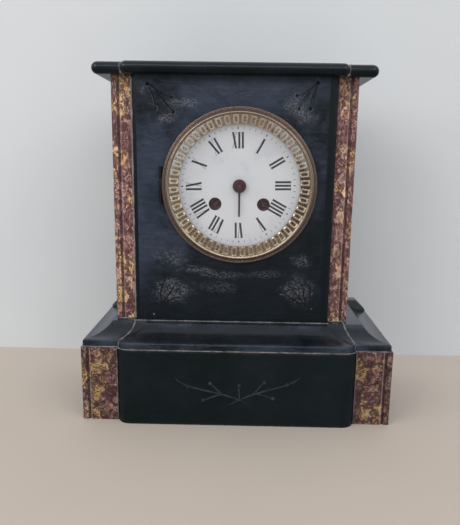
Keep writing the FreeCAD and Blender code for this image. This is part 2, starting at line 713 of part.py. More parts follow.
strap_end = wall_back - d.strap_back_gap
straps = []
strap_screws = []
for side, word in ((-1, "left"), (1, "right")):
    out = side * d.strap_out
    inside = side * (d.strap_out - d.strap_thick)
    front_toe = side * (d.strap_out - d.strap_front_foot)
    back_toe = side * (d.screw_circle - d.strap_thick - d.screw_radius)
    path = [
        (out, seat_back), (out, strap_end), (back_toe, strap_end),
        (back_toe, strap_end - d.strap_thick), (inside, strap_end - d.strap_thick),
        (inside, seat_back + d.strap_thick), (front_toe, seat_back + d.strap_thick),
        (front_toe, seat_back),
    ]
    bar = prism(f"strap_bar_{word}", "XY_Plane", path, axis_z - d.strap_width / 2,
                d.strap_width)
    hole = rod(f"strap_hole_{word}", d.screw_radius + d.running_gap,
               strap_end - d.strap_thick - d.overrun, d.strap_thick + d.overrun * 2,
               side * d.screw_circle, axis_z)
    straps.append(cut(f"strap_{word}", bar, hole))
    shank_start = strap_end - d.strap_thick * 2
    shank = rod(f"screw_shank_{word}", d.screw_radius, shank_start, ring_back - shank_start,
                side * d.screw_circle, axis_z)
    head = rod(f"screw_head_{word}", d.screw_head, ring_back, d.screw_head_thick,
               side * d.screw_circle, axis_z)
    slot = block(f"screw_slot_{word}",
                 (side * d.screw_circle - d.screw_head, side * d.screw_circle + d.screw_head),
                 (ring_back + d.screw_head_thick / 2, ring_back + d.screw_head_thick
                  + d.overrun),
                 (axis_z - d.screw_radius / 4, axis_z + d.screw_radius / 4))
    strap_screws.append(cut(f"case_screw_{word}", fuse(f"screw_whole_{word}", shank, head),
                            slot))


def group(label, *members):
    """Separate like pieces that share one node."""
    compound = doc.addObject("Part::Compound", label)
    compound.Links = list(members)
    return keep(label, compound)


group("case_straps", *straps)
group("case_screws", *strap_screws)

# Movement: positions of the arbors, counted from the center arbor (across, up)

v = Namespace()
for alias in SIZES:
    setattr(v, alias, getattr(d, alias).value)

plate_front = seat_back.value + v.plate_behind_seat
inside_front = plate_front + v.plate_thick
inside_back = inside_front + v.plate_gap
plate_end = inside_back + v.plate_thick
axle_z = axis_z.value


def between(module, driver, driven):
    """The distance between two meshing arbors."""
    return module * (driver + driven) / 2


def polar(distance, bearing):
    turn = math.radians(bearing)
    return Vector(distance * math.cos(turn), 0, distance * math.sin(turn))


def meet(first, first_reach, second, second_reach, side):
    """The point at given distances from two others, left (1) or right (-1) of their line."""
    line = second - first
    span = line.Length
    along = (first_reach ** 2 - second_reach ** 2 + span ** 2) / (2 * span)
    off = math.sqrt(first_reach ** 2 - along ** 2)
    unit = line / span
    left = Vector(-unit.z, 0, unit.x)
    return first + unit * along + left * (side * off)


center = Vector(0, 0, 0)
going_winding = Vector(v.winding_across, 0, -v.winding_below)
strike_winding = Vector(-v.winding_across, 0, -v.winding_below)
barrel_reach = between(v.barrel_module, v.barrel_teeth, v.second_pinion)
second_reach = between(v.second_module, v.second_teeth, v.center_pinion)
second = meet(center, second_reach, going_winding, barrel_reach, 1)
strike_second = Vector(-second.x, 0, second.z)
third_at = polar(between(v.center_module, v.center_teeth, v.third_pinion), 90)
escape = third_at + polar(between(v.third_module, v.third_teeth, v.escape_pinion), 90)
anchor = escape + polar(v.anchor_above_escape, 90)
minute = polar(between(v.cannon_module, v.cannon_teeth, v.minute_teeth), 90)
pin_wheel = strike_second + polar(
    between(v.strike_second_module, v.strike_second_teeth, v.pin_wheel_pinion),
    v.pin_wheel_bearing)
locking = pin_wheel + polar(
    between(v.pin_wheel_module, v.pin_wheel_teeth, v.locking_pinion), v.locking_bearing)
fly = locking + polar(
    between(v.locking_module, v.locking_teeth, v.fly_pinion), v.fly_bearing)
hammer = Vector(-v.hammer_across, 0, v.hammer_above)
click_reach = v.ratchet_radius + v.click_width
going_click = going_winding + polar(click_reach, -v.click_bearing)
strike_click = strike_winding + polar(click_reach, 180 + v.click_bearing)


def disc_between(radius, start, end, at=center):
    """A cylinder along Y between two depths."""
    return Part.makeCylinder(radius, end - start, Vector(at.x, start, at.z), Vector(0, 1, 0))


def toothed_face(teeth, module, phase, start):
    """A toothed outline: straight flanks, a tooth centred at the phase angle."""
    pitch = 2 * math.pi / teeth
    radius = module * teeth / 2
    root, tip = radius - v.root_share * module, radius + v.tip_share * module
    points = []
    for index in range(int(teeth)):
        middle = math.radians(phase) + index * pitch
        for reach, share in ((root, -v.tooth_root_share), (tip, -v.tooth_tip_share),
                             (tip, v.tooth_tip_share), (root, v.tooth_root_share)):
            turn = middle + share * pitch
            points.append(Vector(reach * math.cos(turn), start, reach * math.sin(turn)))
    return Part.Face(Part.makePolygon(points + points[:1]))


def toothed(teeth, module, phase, start, thick):
    return toothed_face(teeth, module, phase, start).extrude(Vector(0, thick, 0))


def window(inner, outer, low, high, start, thick):
    """A sector-shaped window between two spokes."""
    def at(reach, bearing):
        point = polar(reach, bearing)
        return Vector(point.x, start, point.z)
    middle = (low + high) / 2
    edges = [
        Part.Arc(at(outer, low), at(outer, middle), at(outer, high)).toShape(),
        Part.LineSegment(at(outer, high), at(inner, high)).toShape(),
        Part.Arc(at(inner, high), at(inner, middle), at(inner, low)).toShape(),
        Part.LineSegment(at(inner, low), at(outer, low)).toShape(),
    ]
    return Part.Face(Part.Wire(edges)).extrude(Vector(0, thick, 0))


def crossed_wheel(teeth, module, phase, start, spokes=4):
    """A brass wheel with its rim left by windows between the spokes."""
    solid = toothed(teeth, module, phase, start, v.wheel_thick)
    rim = module * (teeth / 2 - v.root_share) - v.wheel_thick
    hub = v.arbor_radius * 3
    step = 360 / spokes
    for index in range(spokes):
        middle = index * step
        half = step / 2 - math.degrees(v.wheel_thick / rim) * 1.5
        opening = window(hub, rim, middle - half, middle + half, start - v.overrun,
                         v.wheel_thick + v.overrun * 2)
        solid = solid.cut(opening)
    return solid


def meshed(phase, teeth, from_point, to_point, other_teeth):
    """The phase that puts a gap of the other gear on the tooth of this one."""
    line = to_point - from_point
    bearing = math.degrees(math.atan2(line.z, line.x))
    pitch, other_pitch = 360 / teeth, 360 / other_teeth
    fraction = ((bearing - phase) / pitch) % 1
    return bearing + 180 - other_pitch * (0.5 - fraction)


def joined(first, *others):
    solid = first
    for other in others:
        solid = solid.fuse(other)
    return solid.removeSplitter()


def arbor(start, end):
    """A steel arbor with a thinner pivot in each plate."""
    return joined(
        disc_between(v.pivot_radius, start - v.plate_thick, end + v.plate_thick),
        disc_between(v.arbor_radius, start + v.running_gap * 4, end - v.running_gap * 4))


def level(distance):
    """A depth counted from the inside of the front plate."""
    return inside_front + distance


# layers of the movement, counted from the inside of the front plate
barrel_wheel_at = v.drum_from_plate + v.drum_height
second_at = barrel_wheel_at + v.wheel_thick * 4
center_wheel_at = second_at + v.pinion_length + v.wheel_thick / 3
third_wheel_at = v.drum_height - v.wheel_thick * 2
escape_at = center_wheel_at + v.pinion_length + v.layer_gap
strike_second_at = second_at + (v.pinion_length + v.wheel_thick) / 2 + v.running_gap * 4
pin_wheel_at = strike_second_at + v.pinion_length + v.layer_gap
locking_at = v.drum_height / 2

going_phase = 0
second_phase = meshed(going_phase, v.barrel_teeth, going_winding, second, v.second_pinion)
center_phase = meshed(0, v.second_teeth, second, center, v.center_pinion)
third_phase = meshed(0, v.center_teeth, center, third_at, v.third_pinion)
escape_phase = meshed(0, v.third_teeth, third_at, escape, v.escape_pinion)
minute_phase = meshed(0, v.cannon_teeth, center, minute, v.minute_teeth)
hour_phase = meshed(0, v.minute_pinion, minute, center, v.hour_teeth)
strike_second_phase = meshed(0, v.barrel_teeth, strike_winding, strike_second,
                             v.second_pinion)
pin_phase = meshed(0, v.strike_second_teeth, strike_second, pin_wheel, v.pin_wheel_pinion)
locking_phase = meshed(0, v.pin_wheel_teeth, pin_wheel, locking, v.locking_pinion)
fly_phase = meshed(0, v.locking_teeth, locking, fly, v.fly_pinion)


def spring_barrel(label, at, phase):
    """A brass drum with a toothed rim, hollow for the mainspring, turning on its arbor."""
    bore = v.winding_radius + v.running_gap
    start, wheel = level(v.drum_from_plate), level(barrel_wheel_at)
    whole = joined(disc_between(v.drum_radius, start, wheel),
                   toothed(v.barrel_teeth, v.barrel_module, phase, wheel, v.wheel_thick))
    hollow = disc_between(v.drum_radius - v.drum_skin, start + v.drum_skin, wheel)
    through = disc_between(bore, start - v.overrun, wheel + v.wheel_thick + v.overrun)
    return feature(label, whole.cut(hollow).cut(through), at.x, 0, at.z + axle_z)


def winding_arbor(label, at):
    """The arbor that winds the spring: square front end, ratchet wheel and core."""
    front = dial_back.value
    side = v.winding_square
    square = Part.makeBox(side, plate_front - front, side, Vector(-side / 2, front, -side / 2))
    ratchet_start = plate_front - v.ratchet_thick - v.running_gap * 2
    points = []
    step = 360 / v.ratchet_teeth
    for index in range(int(v.ratchet_teeth)):
        low = polar(v.ratchet_radius - v.ratchet_thick / 2, index * step)
        high = polar(v.ratchet_radius, index * step)
        points += [Vector(low.x, ratchet_start, low.z), Vector(high.x, ratchet_start, high.z)]
    ratchet = Part.Face(Part.makePolygon(points + points[:1])).extrude(
        Vector(0, v.ratchet_thick, 0))
    start = level(v.drum_from_plate)
    shaft = disc_between(v.winding_radius, ratchet_start, inside_back - v.running_gap * 4)
    pivot = disc_between(v.pivot_radius * 2, ratchet_start, plate_end)
    core = disc_between(v.winding_core, start + v.drum_skin + v.running_gap * 4,
                        level(barrel_wheel_at) - v.running_gap * 4)
    return feature(label, joined(square, ratchet, shaft, pivot, core), at.x, 0,
                   at.z + axle_z)


def mainspring(label, at):
    """A strip coiled in half turns whose radius grows by one pitch a turn."""
    start = level(v.drum_from_plate) + v.drum_skin + v.running_gap * 4
    width = level(barrel_wheel_at) - v.running_gap * 4 - start
    pitch = v.spring_thick + v.spring_gap
    inner = v.winding_core + v.spring_gap / 2

    def arcs(first):
        edges = []
        for index in range(int(v.spring_turns) * 2):
            radius = first + index * pitch / 2
            shift = 0 if index % 2 == 0 else pitch / 2
            side = 1 if index % 2 == 0 else -1
            edges.append(((shift + side * radius, 0), (shift, side * radius),
                          (shift - side * radius, 0)))
        return edges

    def at_depth(point):
        return Vector(point[0], start, point[1])

    edges = [Part.Arc(*[at_depth(p) for p in arc]).toShape() for arc in arcs(inner)]
    outer = [Part.Arc(*[at_depth(p) for p in arc]).toShape()
             for arc in arcs(inner + v.spring_thick)]
    first_in, first_out = arcs(inner)[0][0], arcs(inner + v.spring_thick)[0][0]
    last_in, last_out = arcs(inner)[-1][2], arcs(inner + v.spring_thick)[-1][2]
    caps = [Part.LineSegment(at_depth(first_in), at_depth(first_out)).toShape(),
            Part.LineSegment(at_depth(last_in), at_depth(last_out)).toShape()]
    loop = Part.Wire(Part.__sortEdges__(edges + outer + caps))
    strip = Part.Face(loop).extrude(Vector(0, width, 0))
    return feature(label, strip, at.x, 0, at.z + axle_z)


def click(label, at, winding):
    """A pawl on a stud, whose tip stands just clear of the ratchet teeth."""
    line = winding - at
    bearing = math.degrees(math.atan2(line.z, line.x))
    start = plate_front - v.ratchet_thick - v.running_gap * 2
    tip_bearing = bearing + 90
    tip = polar(v.click_length * 0.7, tip_bearing)
    body = disc_between(v.click_width / 2, start, start + v.ratchet_thick)
    half = polar(v.click_width / 2, bearing)
    points = [half, tip + half * 0.7, tip - half * 0.2, half * -1]
    points = [Vector(p.x, start, p.z) for p in points]
    arm = Part.Face(Part.makePolygon(points + points[:1])).extrude(
        Vector(0, v.ratchet_thick, 0))
    hole = disc_between(v.click_pivot + v.running_gap, start - v.overrun,
                        start + v.ratchet_thick + v.overrun)
    return feature(label, joined(body, arm).cut(hole), at.x, 0, at.z + axle_z)


spring_barrel("going_barrel", going_winding, going_phase)
spring_barrel("strike_barrel", strike_winding, 0)
winding_arbor("going_arbor", going_winding)
winding_arbor("strike_arbor", strike_winding)
mainspring("going_spring", going_winding)
mainspring("strike_spring", strike_winding)
click("going_click", going_click, going_winding)
click("strike_click", strike_click, strike_winding)

middle_of_barrel_wheel = level(barrel_wheel_at) + v.wheel_thick / 2


def pinion(teeth, module, phase, middle):
    return toothed(teeth, module, phase, middle - v.pinion_length / 2, v.pinion_length)


feature("second_wheel", joined(
    arbor(inside_front, inside_back),
    pinion(v.second_pinion, v.barrel_module, second_phase, middle_of_barrel_wheel),
    crossed_wheel(v.second_teeth, v.second_module, 0, level(second_at)),
), second.x, 0, second.z + axle_z)

arbor_front = dial_front.value - v.hand_thick * 7
feature("center_arbor", joined(
    disc_between(v.arbor_radius, arbor_front, plate_end),
    disc_between(v.arbor_radius * 1.5, inside_front + v.running_gap * 4,
                 inside_back - v.running_gap * 4),
    pinion(v.center_pinion, v.second_module, center_phase,
           level(second_at) + v.wheel_thick / 2),
    crossed_wheel(v.center_teeth, v.center_module, 0, level(center_wheel_at)),
), 0, 0, axle_z)

feature("third_wheel", joined(
    arbor(inside_front, inside_back),
    pinion(v.third_pinion, v.center_module, third_phase,
           level(center_wheel_at) + v.wheel_thick / 2),
    crossed_wheel(v.third_teeth, v.third_module, 0, level(third_wheel_at)),
), third_at.x, 0, third_at.z + axle_z)


def escape_outline(start):
    """Saw-shaped teeth whose fronts lean forward."""
    points = []
    step = 360 / v.escape_teeth
    root = v.escape_radius - v.wheel_thick
    for index in range(int(v.escape_teeth)):
        low, high = polar(root, index * step), polar(v.escape_radius, index * step + step / 4)
        points += [Vector(low.x, start, low.z), Vector(high.x, start, high.z)]
    return Part.Face(Part.makePolygon(points + points[:1]))


escape_start = level(escape_at)
feature("escape_wheel", joined(
    arbor(inside_front, inside_back),
    pinion(v.escape_pinion, v.third_module, escape_phase,
           level(third_wheel_at) + v.wheel_thick / 2),
    escape_outline(escape_start).extrude(Vector(0, v.wheel_thick, 0)),
), escape.x, 0, escape.z + axle_z)

# Anchor over the escape wheel, its arbor through the back plate, and the crutch
pallet_inner = v.escape_radius + v.wheel_thick
pallet_outer = pallet_inner + v.wheel_thick * 1.4
down = Vector(0, 0, -v.anchor_above_escape)
hoop = window(pallet_inner, pallet_outer, 20, 160, escape_start, v.wheel_thick)
hoop.translate(down)
crutch_at = plate_end + v.layer_gap
crutch_end = crutch_at + v.hand_thick
fork_length = v.pendulum_behind_plate + v.rod_radius * 2 - v.layer_gap
fork_gap = v.rod_radius + v.running_gap * 2
crutch = Part.makeBox(v.rod_radius * 2, v.hand_thick, v.crutch_length,
                      Vector(-v.rod_radius, crutch_at, -v.crutch_length))
fork = [
    Part.makeBox(v.rod_radius, fork_length, v.rod_radius * 2,
                 Vector(side * fork_gap - (v.rod_radius if side < 0 else 0), crutch_at,
                        -v.crutch_length - v.rod_radius * 2))
    for side in (-1, 1)
]
bridge = Part.makeBox((fork_gap + v.rod_radius) * 2, v.hand_thick, v.rod_radius * 2,
                      Vector(-fork_gap - v.rod_radius, crutch_at,
                             -v.crutch_length - v.rod_radius * 2))
cock_end = plate_end + v.cock_stand + v.cock_thick
anchor_shape = joined(
    disc_between(v.pivot_radius, inside_front - v.plate_thick, cock_end),
    disc_between(v.arbor_radius, inside_front + v.running_gap * 4,
                 plate_end + v.cock_stand - v.running_gap * 4),
    hoop, crutch, bridge, *fork)
feature("pallet_anchor", anchor_shape, anchor.x, 0, anchor.z + axle_z)

# Motion work under the dial
cannon_front = dial_front.value - v.hand_thick * 6
cannon_start = plate_front - v.running_gap * 4 - v.wheel_thick
pipe_radius = v.arbor_radius + v.running_gap + v.hand_thick * 0.8
feature("cannon_pinion", joined(
    disc_between(pipe_radius, cannon_front, cannon_start + v.wheel_thick),
    toothed(v.cannon_teeth, v.cannon_module, 0, cannon_start, v.wheel_thick),
).cut(disc_between(v.arbor_radius + v.running_gap / 5, cannon_front - v.overrun, plate_front)),
    0, 0, axle_z)

minute_start = cannon_start
hour_start = cannon_start - v.wheel_thick - v.layer_gap
stud_radius = v.arbor_radius
minute_pinion_start = hour_start - v.running_gap * 2
feature("minute_wheel", joined(
    toothed(v.minute_teeth, v.cannon_module, minute_phase, minute_start, v.wheel_thick),
    toothed(v.minute_pinion, v.hour_module, 0, minute_pinion_start,
            minute_start - minute_pinion_start),
).cut(disc_between(stud_radius + v.running_gap, minute_pinion_start - v.overrun, plate_front)),
    minute.x, 0, minute.z + axle_z)

hour_pipe_in = pipe_radius + v.running_gap
hour_pipe_out = hour_pipe_in + v.hand_thick * 0.6
hand_front = dial_front.value - v.hand_thick * 4
feature("hour_wheel", joined(
    disc_between(hour_pipe_out, hand_front, hour_start + v.wheel_thick),
    toothed(v.hour_teeth, v.hour_module, hour_phase, hour_start, v.wheel_thick),
).cut(disc_between(hour_pipe_in, hand_front - v.overrun, plate_front)), 0, 0, axle_z)

root_half, tip_half = v.hand_root / 2, v.hand_tip / 2
pointer = [
    (-root_half, 0), (-root_half, -v.hand_length * 0.7), (-tip_half, -v.hand_length * 0.93),
    (-root_half * 0.6, -v.hand_length), (root_half * 0.6, -v.hand_length),
    (tip_half, -v.hand_length * 0.93), (root_half, -v.hand_length * 0.7), (root_half, 0),
]
pointer = [Vector(x, hand_front, z) for x, z in pointer]
hand_arm = Part.Face(Part.makePolygon(pointer + pointer[:1])).extrude(
    Vector(0, v.hand_thick, 0))
hub = disc_between(v.hand_hub, hand_front - v.hand_thick / 2, hand_front + v.hand_thick * 1.5)
hub = hub.makeFillet(v.hand_thick * 0.45, hub.Edges[:1])
feature("hour_hand", joined(hub, hand_arm).cut(
    disc_between(hour_pipe_out, hand_front - v.overrun, hand_front + v.hand_thick * 3)),
    0, 0, axle_z)

# Strike train
feature("count_wheel", joined(
    disc_between(v.pivot_radius, inside_front - v.plate_thick, plate_end + v.cock_stand),
    disc_between(v.arbor_radius, inside_front + v.running_gap * 4,
                 inside_back - v.running_gap * 4),
    pinion(v.second_pinion, v.barrel_module, strike_second_phase, middle_of_barrel_wheel),
    crossed_wheel(v.strike_second_teeth, v.strike_second_module, 0, level(strike_second_at)),
    disc_between(v.count_radius, plate_end + v.layer_gap,
                 plate_end + v.layer_gap + v.wheel_thick),
).cut(Part.makeCompound([
    window(v.count_radius - v.count_notch, v.count_radius + v.overrun,
           4 * (hour * (hour + 1) / 2 + hour) - 3, 4 * (hour * (hour + 1) / 2 + hour) + 3,
           plate_end, v.wheel_thick + v.layer_gap + v.overrun)
    for hour in range(12)
])), strike_second.x, 0, strike_second.z + axle_z)

pin_wheel_start = level(pin_wheel_at)
pins = [disc_between(v.pivot_radius, pin_wheel_start, pin_wheel_start + v.pinion_length,
                     polar(v.strike_pin_circle, index * 360 / v.strike_pins))
        for index in range(int(v.strike_pins))]
pin_wheel_face = toothed(v.pin_wheel_teeth, v.pin_wheel_module, 0, pin_wheel_start,
                         v.wheel_thick)
feature("pin_wheel", joined(
    arbor(inside_front, inside_back), pin_wheel_face, *pins,
    pinion(v.pin_wheel_pinion, v.strike_second_module, pin_phase,
           level(strike_second_at) + v.wheel_thick / 2),
), pin_wheel.x, 0, pin_wheel.z + axle_z)

feature("locking_wheel", joined(
    arbor(inside_front, inside_back),
    crossed_wheel(v.locking_teeth, v.locking_module, 0, level(locking_at), 3),
    pinion(v.locking_pinion, v.pin_wheel_module, locking_phase,
           pin_wheel_start + v.wheel_thick / 2),
), locking.x, 0, locking.z + axle_z)

vane_start = level(locking_at) + v.pinion_length + v.layer_gap
vane = Part.makeBox(v.fly_span, v.fly_length, v.fly_thick,
                    Vector(-v.fly_span / 2, vane_start, -v.fly_thick / 2))
feature("strike_fly", joined(
    arbor(inside_front, inside_back), vane,
    pinion(v.fly_pinion, v.locking_module, fly_phase, level(locking_at) + v.wheel_thick / 2),
), fly.x, 0, fly.z + axle_z)

# Hammer: arbor, tail beside the pins, arm behind the back plate and head by the bell
bell_mouth = plate_end + v.bell_behind_plate
head_reach = v.bell_radius + v.hammer_gap + v.hammer_head_length / 2
head_at = polar(head_reach, v.hammer_bearing) - hammer
arm_at = plate_end + v.layer_gap
head_depth = bell_mouth + v.hammer_head_radius
radial = polar(1, v.hammer_bearing)


def bar(start, end, half_width, depth, thick):
    """A flat bar between two points of the movement's face."""
    line = (end - start).normalize()
    across = Vector(-line.z, 0, line.x) * half_width
    points = [start + across, end + across, end - across, start - across]
    points = [Vector(p.x, depth, p.z) for p in points]
    return Part.Face(Part.makePolygon(points + points[:1])).extrude(Vector(0, thick, 0))


head = Part.makeCylinder(v.hammer_head_radius, v.hammer_head_length,
                         Vector(head_at.x, head_depth, head_at.z)
                         - radial * (v.hammer_head_length / 2), radial)
tail_line = pin_wheel - hammer
tail_length = tail_line.Length - v.strike_pin_circle - v.pivot_radius - v.layer_gap
tail = bar(center, tail_line.normalize() * tail_length, v.arbor_radius,
           pin_wheel_start + v.wheel_thick + v.layer_gap, v.wheel_thick)
feature("hammer", joined(
    disc_between(v.hammer_arbor, inside_front - v.plate_thick, arm_at + v.wheel_thick),
    disc_between(v.hammer_arbor * 2, inside_front + v.running_gap * 4,
                 inside_back - v.running_gap * 4),
    bar(center, head_at, v.hammer_arbor * 1.5, arm_at, v.wheel_thick),
    disc_between(v.hammer_arbor * 2, arm_at, arm_at + v.wheel_thick),
    disc_between(v.hammer_arbor * 1.2, arm_at, head_depth, head_at), head, tail,
), hammer.x, 0, hammer.z + axle_z)

# Bell on its post behind the pendulum
keep("bell", turned("bell", [
    (d.bell_radius, bell_mouth),
    (d.post_radius + d.running_gap, bell_mouth + v.bell_depth,
     (d.bell_radius * d.bell_radius + d.bell_depth * d.bell_depth) / (d.bell_depth * 2), 1),
    (d.post_radius + d.running_gap, bell_mouth + v.bell_depth - v.bell_thick),
    (d.bell_radius - d.bell_thick, bell_mouth,
     (d.bell_radius * d.bell_radius + d.bell_depth * d.bell_depth) / (d.bell_depth * 2)
     - d.bell_thick, -1),
], z=axis_z))

bell_top = bell_mouth + v.bell_depth
cross_at = bell_mouth - v.post_radius * 1.5
post_foot = Vector(v.post_across, 0, 0)
post = joined(
    disc_between(v.post_radius, plate_end, cross_at + v.post_radius, post_foot),
    disc_between(v.post_radius * 2, plate_end, plate_end + v.wheel_thick, post_foot),
    bar(post_foot + Vector(v.post_radius, 0, 0), Vector(-v.post_radius, 0, 0), v.post_radius,
        cross_at, v.post_radius),
    disc_between(v.post_radius, cross_at, bell_top + v.wheel_thick * 2),
    disc_between(v.post_radius * 2, bell_top, bell_top + v.wheel_thick),
    disc_between(v.post_radius * 2, bell_top - v.bell_thick - v.layer_gap / 2 - v.wheel_thick,
                 bell_top - v.bell_thick - v.layer_gap / 2))
feature("bell_post", post, 0, 0, axle_z)

# Plates, with a hole for every arbor, and the pillars between them
pivots = [second, third_at, escape, strike_second, pin_wheel, locking, fly]
small = v.pivot_radius + v.running_gap


def plate(start, holes):
    solid = disc_between(v.plate_radius, start, start + v.plate_thick)
    tools = [disc_between(radius, start - v.overrun, start + v.plate_thick + v.overrun, at)
             for at, radius in holes]
    return solid.cut(Part.makeCompound(tools))


shared = [(at, small) for at in pivots]
shared += [(hammer, v.hammer_arbor + v.running_gap)]
pillar_places = [polar(v.pillar_place_radius, bearing) for bearing in (20, 60, 160, 270)]
shared += [(at, v.pillar_pin_radius + v.running_gap / 5) for at in pillar_places]
front_holes = shared + [
    (anchor, small), (center, v.arbor_radius + v.running_gap),
    (going_winding, v.winding_radius + v.running_gap),
    (strike_winding, v.winding_radius + v.running_gap),
]
boss_start = seat_back.value
bosses = [disc_between(v.boss_radius, boss_start, plate_front,
                       polar(v.seat_radius + v.boss_radius / 2, bearing))
          for bearing in (45, 135, 225, 315)]
lugs = [disc_between(v.boss_radius * 1.6, plate_front, inside_front,
                     polar(v.seat_radius, bearing)) for bearing in (45, 135, 225, 315)]
minute_stud = disc_between(stud_radius, minute_pinion_start - v.running_gap * 2, plate_front,
                           minute)
click_studs = [disc_between(v.click_pivot, plate_front - v.ratchet_thick * 1.5, plate_front, at)
               for at in (going_click, strike_click)]
feature("front_plate", joined(plate(plate_front, front_holes), minute_stud, *click_studs,
                              *bosses, *lugs), 0, 0, axle_z)

back_holes = shared + [
    (anchor, v.arbor_radius * 2), (center, v.arbor_radius + v.running_gap),
    (going_winding, v.pivot_radius * 2 + v.running_gap),
    (strike_winding, v.pivot_radius * 2 + v.running_gap),
]
feature("back_plate", plate(inside_back, back_holes), 0, 0, axle_z)

pillars = [joined(
    disc_between(v.pillar_radius, inside_front, inside_back, at),
    disc_between(v.pillar_pin_radius, plate_front, plate_end + v.wheel_thick, at))
    for at in pillar_places]
feature("plate_pillars", Part.makeCompound(pillars), 0, 0, axle_z)

# Cock behind the back plate: rear bearing of the anchor and the pendulum's hanging point
cock_start = plate_end + v.cock_stand
half_cock = v.cock_width / 2
low_edge = -v.cock_height / 2
leg = v.cock_thick * 2
hang_depth = plate_end + v.pendulum_behind_plate
cock = joined(
    Part.makeBox(v.cock_width, v.cock_thick, v.cock_height,
                 Vector(-half_cock, cock_start, low_edge)),
    Part.makeBox(leg, v.cock_stand, v.cock_height, Vector(-half_cock, plate_end, low_edge)),
    Part.makeBox(leg, v.cock_stand, v.cock_height,
                 Vector(half_cock - leg, plate_end, low_edge)),
).cut(disc_between(small, cock_start - v.overrun, cock_end + v.overrun))
nose_low = v.cock_height / 2 - v.cock_thick
cock = joined(cock, Part.makeBox(
    v.spring_width * 2, hang_depth + v.spring_width / 2 - cock_end, v.cock_thick * 2,
    Vector(-v.spring_width, cock_end, nose_low)))
slot = Part.makeBox(v.spring_leaf * 2, v.spring_width * 2, v.cock_thick * 4,
                    Vector(-v.spring_leaf, hang_depth - v.spring_width / 2
                           - v.running_gap, nose_low - v.overrun))
feature("pendulum_cock", cock.cut(slot), anchor.x, 0, anchor.z + axle_z)

# Pendulum: leaf spring, rod, lens-shaped bob and rating nut
spring_top = nose_low + v.cock_thick * 2
clamp_top = -v.cock_height / 2
spring_length = spring_top - clamp_top
hang_z = anchor.z + axle_z
feature("suspension_spring", Part.makeBox(
    v.spring_leaf, v.spring_width, spring_length,
    Vector(-v.spring_leaf / 2, hang_depth - v.spring_width / 2, clamp_top)),
    anchor.x, 0, hang_z)

bob_z = -v.pendulum_length
rod_end = bob_z - v.bob_radius - v.nut_height * 1.5


def stem(radius, low, high):
    return Part.makeCylinder(radius, high - low, Vector(0, hang_depth, low))


clamp = Part.makeBox(v.spring_width, v.spring_width, v.spring_width,
                     Vector(-v.spring_width / 2, hang_depth - v.spring_width / 2,
                            clamp_top - v.spring_width))
feature("pendulum_rod", joined(
    clamp, stem(v.rod_radius, rod_end, clamp_top - v.spring_width),
    stem(v.nut_radius, bob_z - v.bob_radius - v.nut_height, bob_z - v.bob_radius),
), anchor.x, 0, hang_z)

lens = (v.bob_radius ** 2 + (v.bob_thick / 2) ** 2) / v.bob_thick
ball_front = Part.makeSphere(lens, Vector(0, hang_depth + lens - v.bob_thick / 2, bob_z))
ball_back = Part.makeSphere(lens, Vector(0, hang_depth - lens + v.bob_thick / 2, bob_z))
hole = stem(v.rod_radius + v.running_gap, bob_z - v.bob_radius - v.overrun,
            bob_z + v.bob_radius + v.overrun)
feature("pendulum_bob", ball_front.common(ball_back).cut(hole), anchor.x, 0, hang_z)

# Every object has to be sound before a file is written

doc.recompute()
for thing in doc.Objects:
    if "Invalid" in thing.State or "Error" in thing.State:
        raise RuntimeError(f"{thing.Label}: {thing.State}")
os.makedirs("parts", exist_ok=True)
total = 0
for name, thing in nodes.items():
    shape = thing.Shape
    if shape.isNull() or not shape.isValid():
        raise RuntimeError(f"{name}: shape is not sound")
    shape.exportStep(f"parts/{name}.step")
    total += len(shape.Solids)
print(len(nodes), "sub-parts,", total, "solids")
places = {
    "second": second, "third": third_at, "escape": escape, "anchor": anchor,
    "minute": minute, "going_winding": going_winding, "strike_winding": strike_winding,
    "strike_second": strike_second, "pin_wheel": pin_wheel, "locking": locking, "fly": fly,
    "hammer": hammer, "going_click": going_click, "strike_click": strike_click,
}
for name, at in places.items():
    print(f"{name} arbor at x {at.x:.4f} z {at.z + axle_z:.4f}")
print("door hinge", hinge_x.value, hinge_y.value, "cover hinge", cover_hinge_x.value,
      cover_hinge_y.value, "panel face", panel_face.value, "case end", case_end.value)
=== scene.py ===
import math

import bmesh
import bpy
import numpy as np
from mathutils import Matrix, Vector


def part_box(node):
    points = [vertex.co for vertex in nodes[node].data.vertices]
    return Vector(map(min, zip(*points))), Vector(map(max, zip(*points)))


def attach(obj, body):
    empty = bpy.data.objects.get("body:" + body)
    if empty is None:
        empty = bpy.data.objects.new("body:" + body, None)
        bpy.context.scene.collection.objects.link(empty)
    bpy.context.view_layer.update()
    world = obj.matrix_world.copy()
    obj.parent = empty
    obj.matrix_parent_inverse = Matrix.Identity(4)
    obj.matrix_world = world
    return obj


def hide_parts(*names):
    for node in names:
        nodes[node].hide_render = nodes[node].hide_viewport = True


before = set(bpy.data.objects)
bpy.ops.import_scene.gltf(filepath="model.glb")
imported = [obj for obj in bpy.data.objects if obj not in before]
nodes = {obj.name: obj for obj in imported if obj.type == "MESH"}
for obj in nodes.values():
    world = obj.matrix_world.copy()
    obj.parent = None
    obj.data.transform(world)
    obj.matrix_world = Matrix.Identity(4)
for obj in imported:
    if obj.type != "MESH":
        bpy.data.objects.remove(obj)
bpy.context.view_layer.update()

# Room: a pale table top and a plain wall behind it, both only there to set the clock off.
# Broad soft lamps stand in front, left and right, in a pale room, and the camera is where
# the photo was taken from: at dial height, about half a metre in front.

MM = 0.001


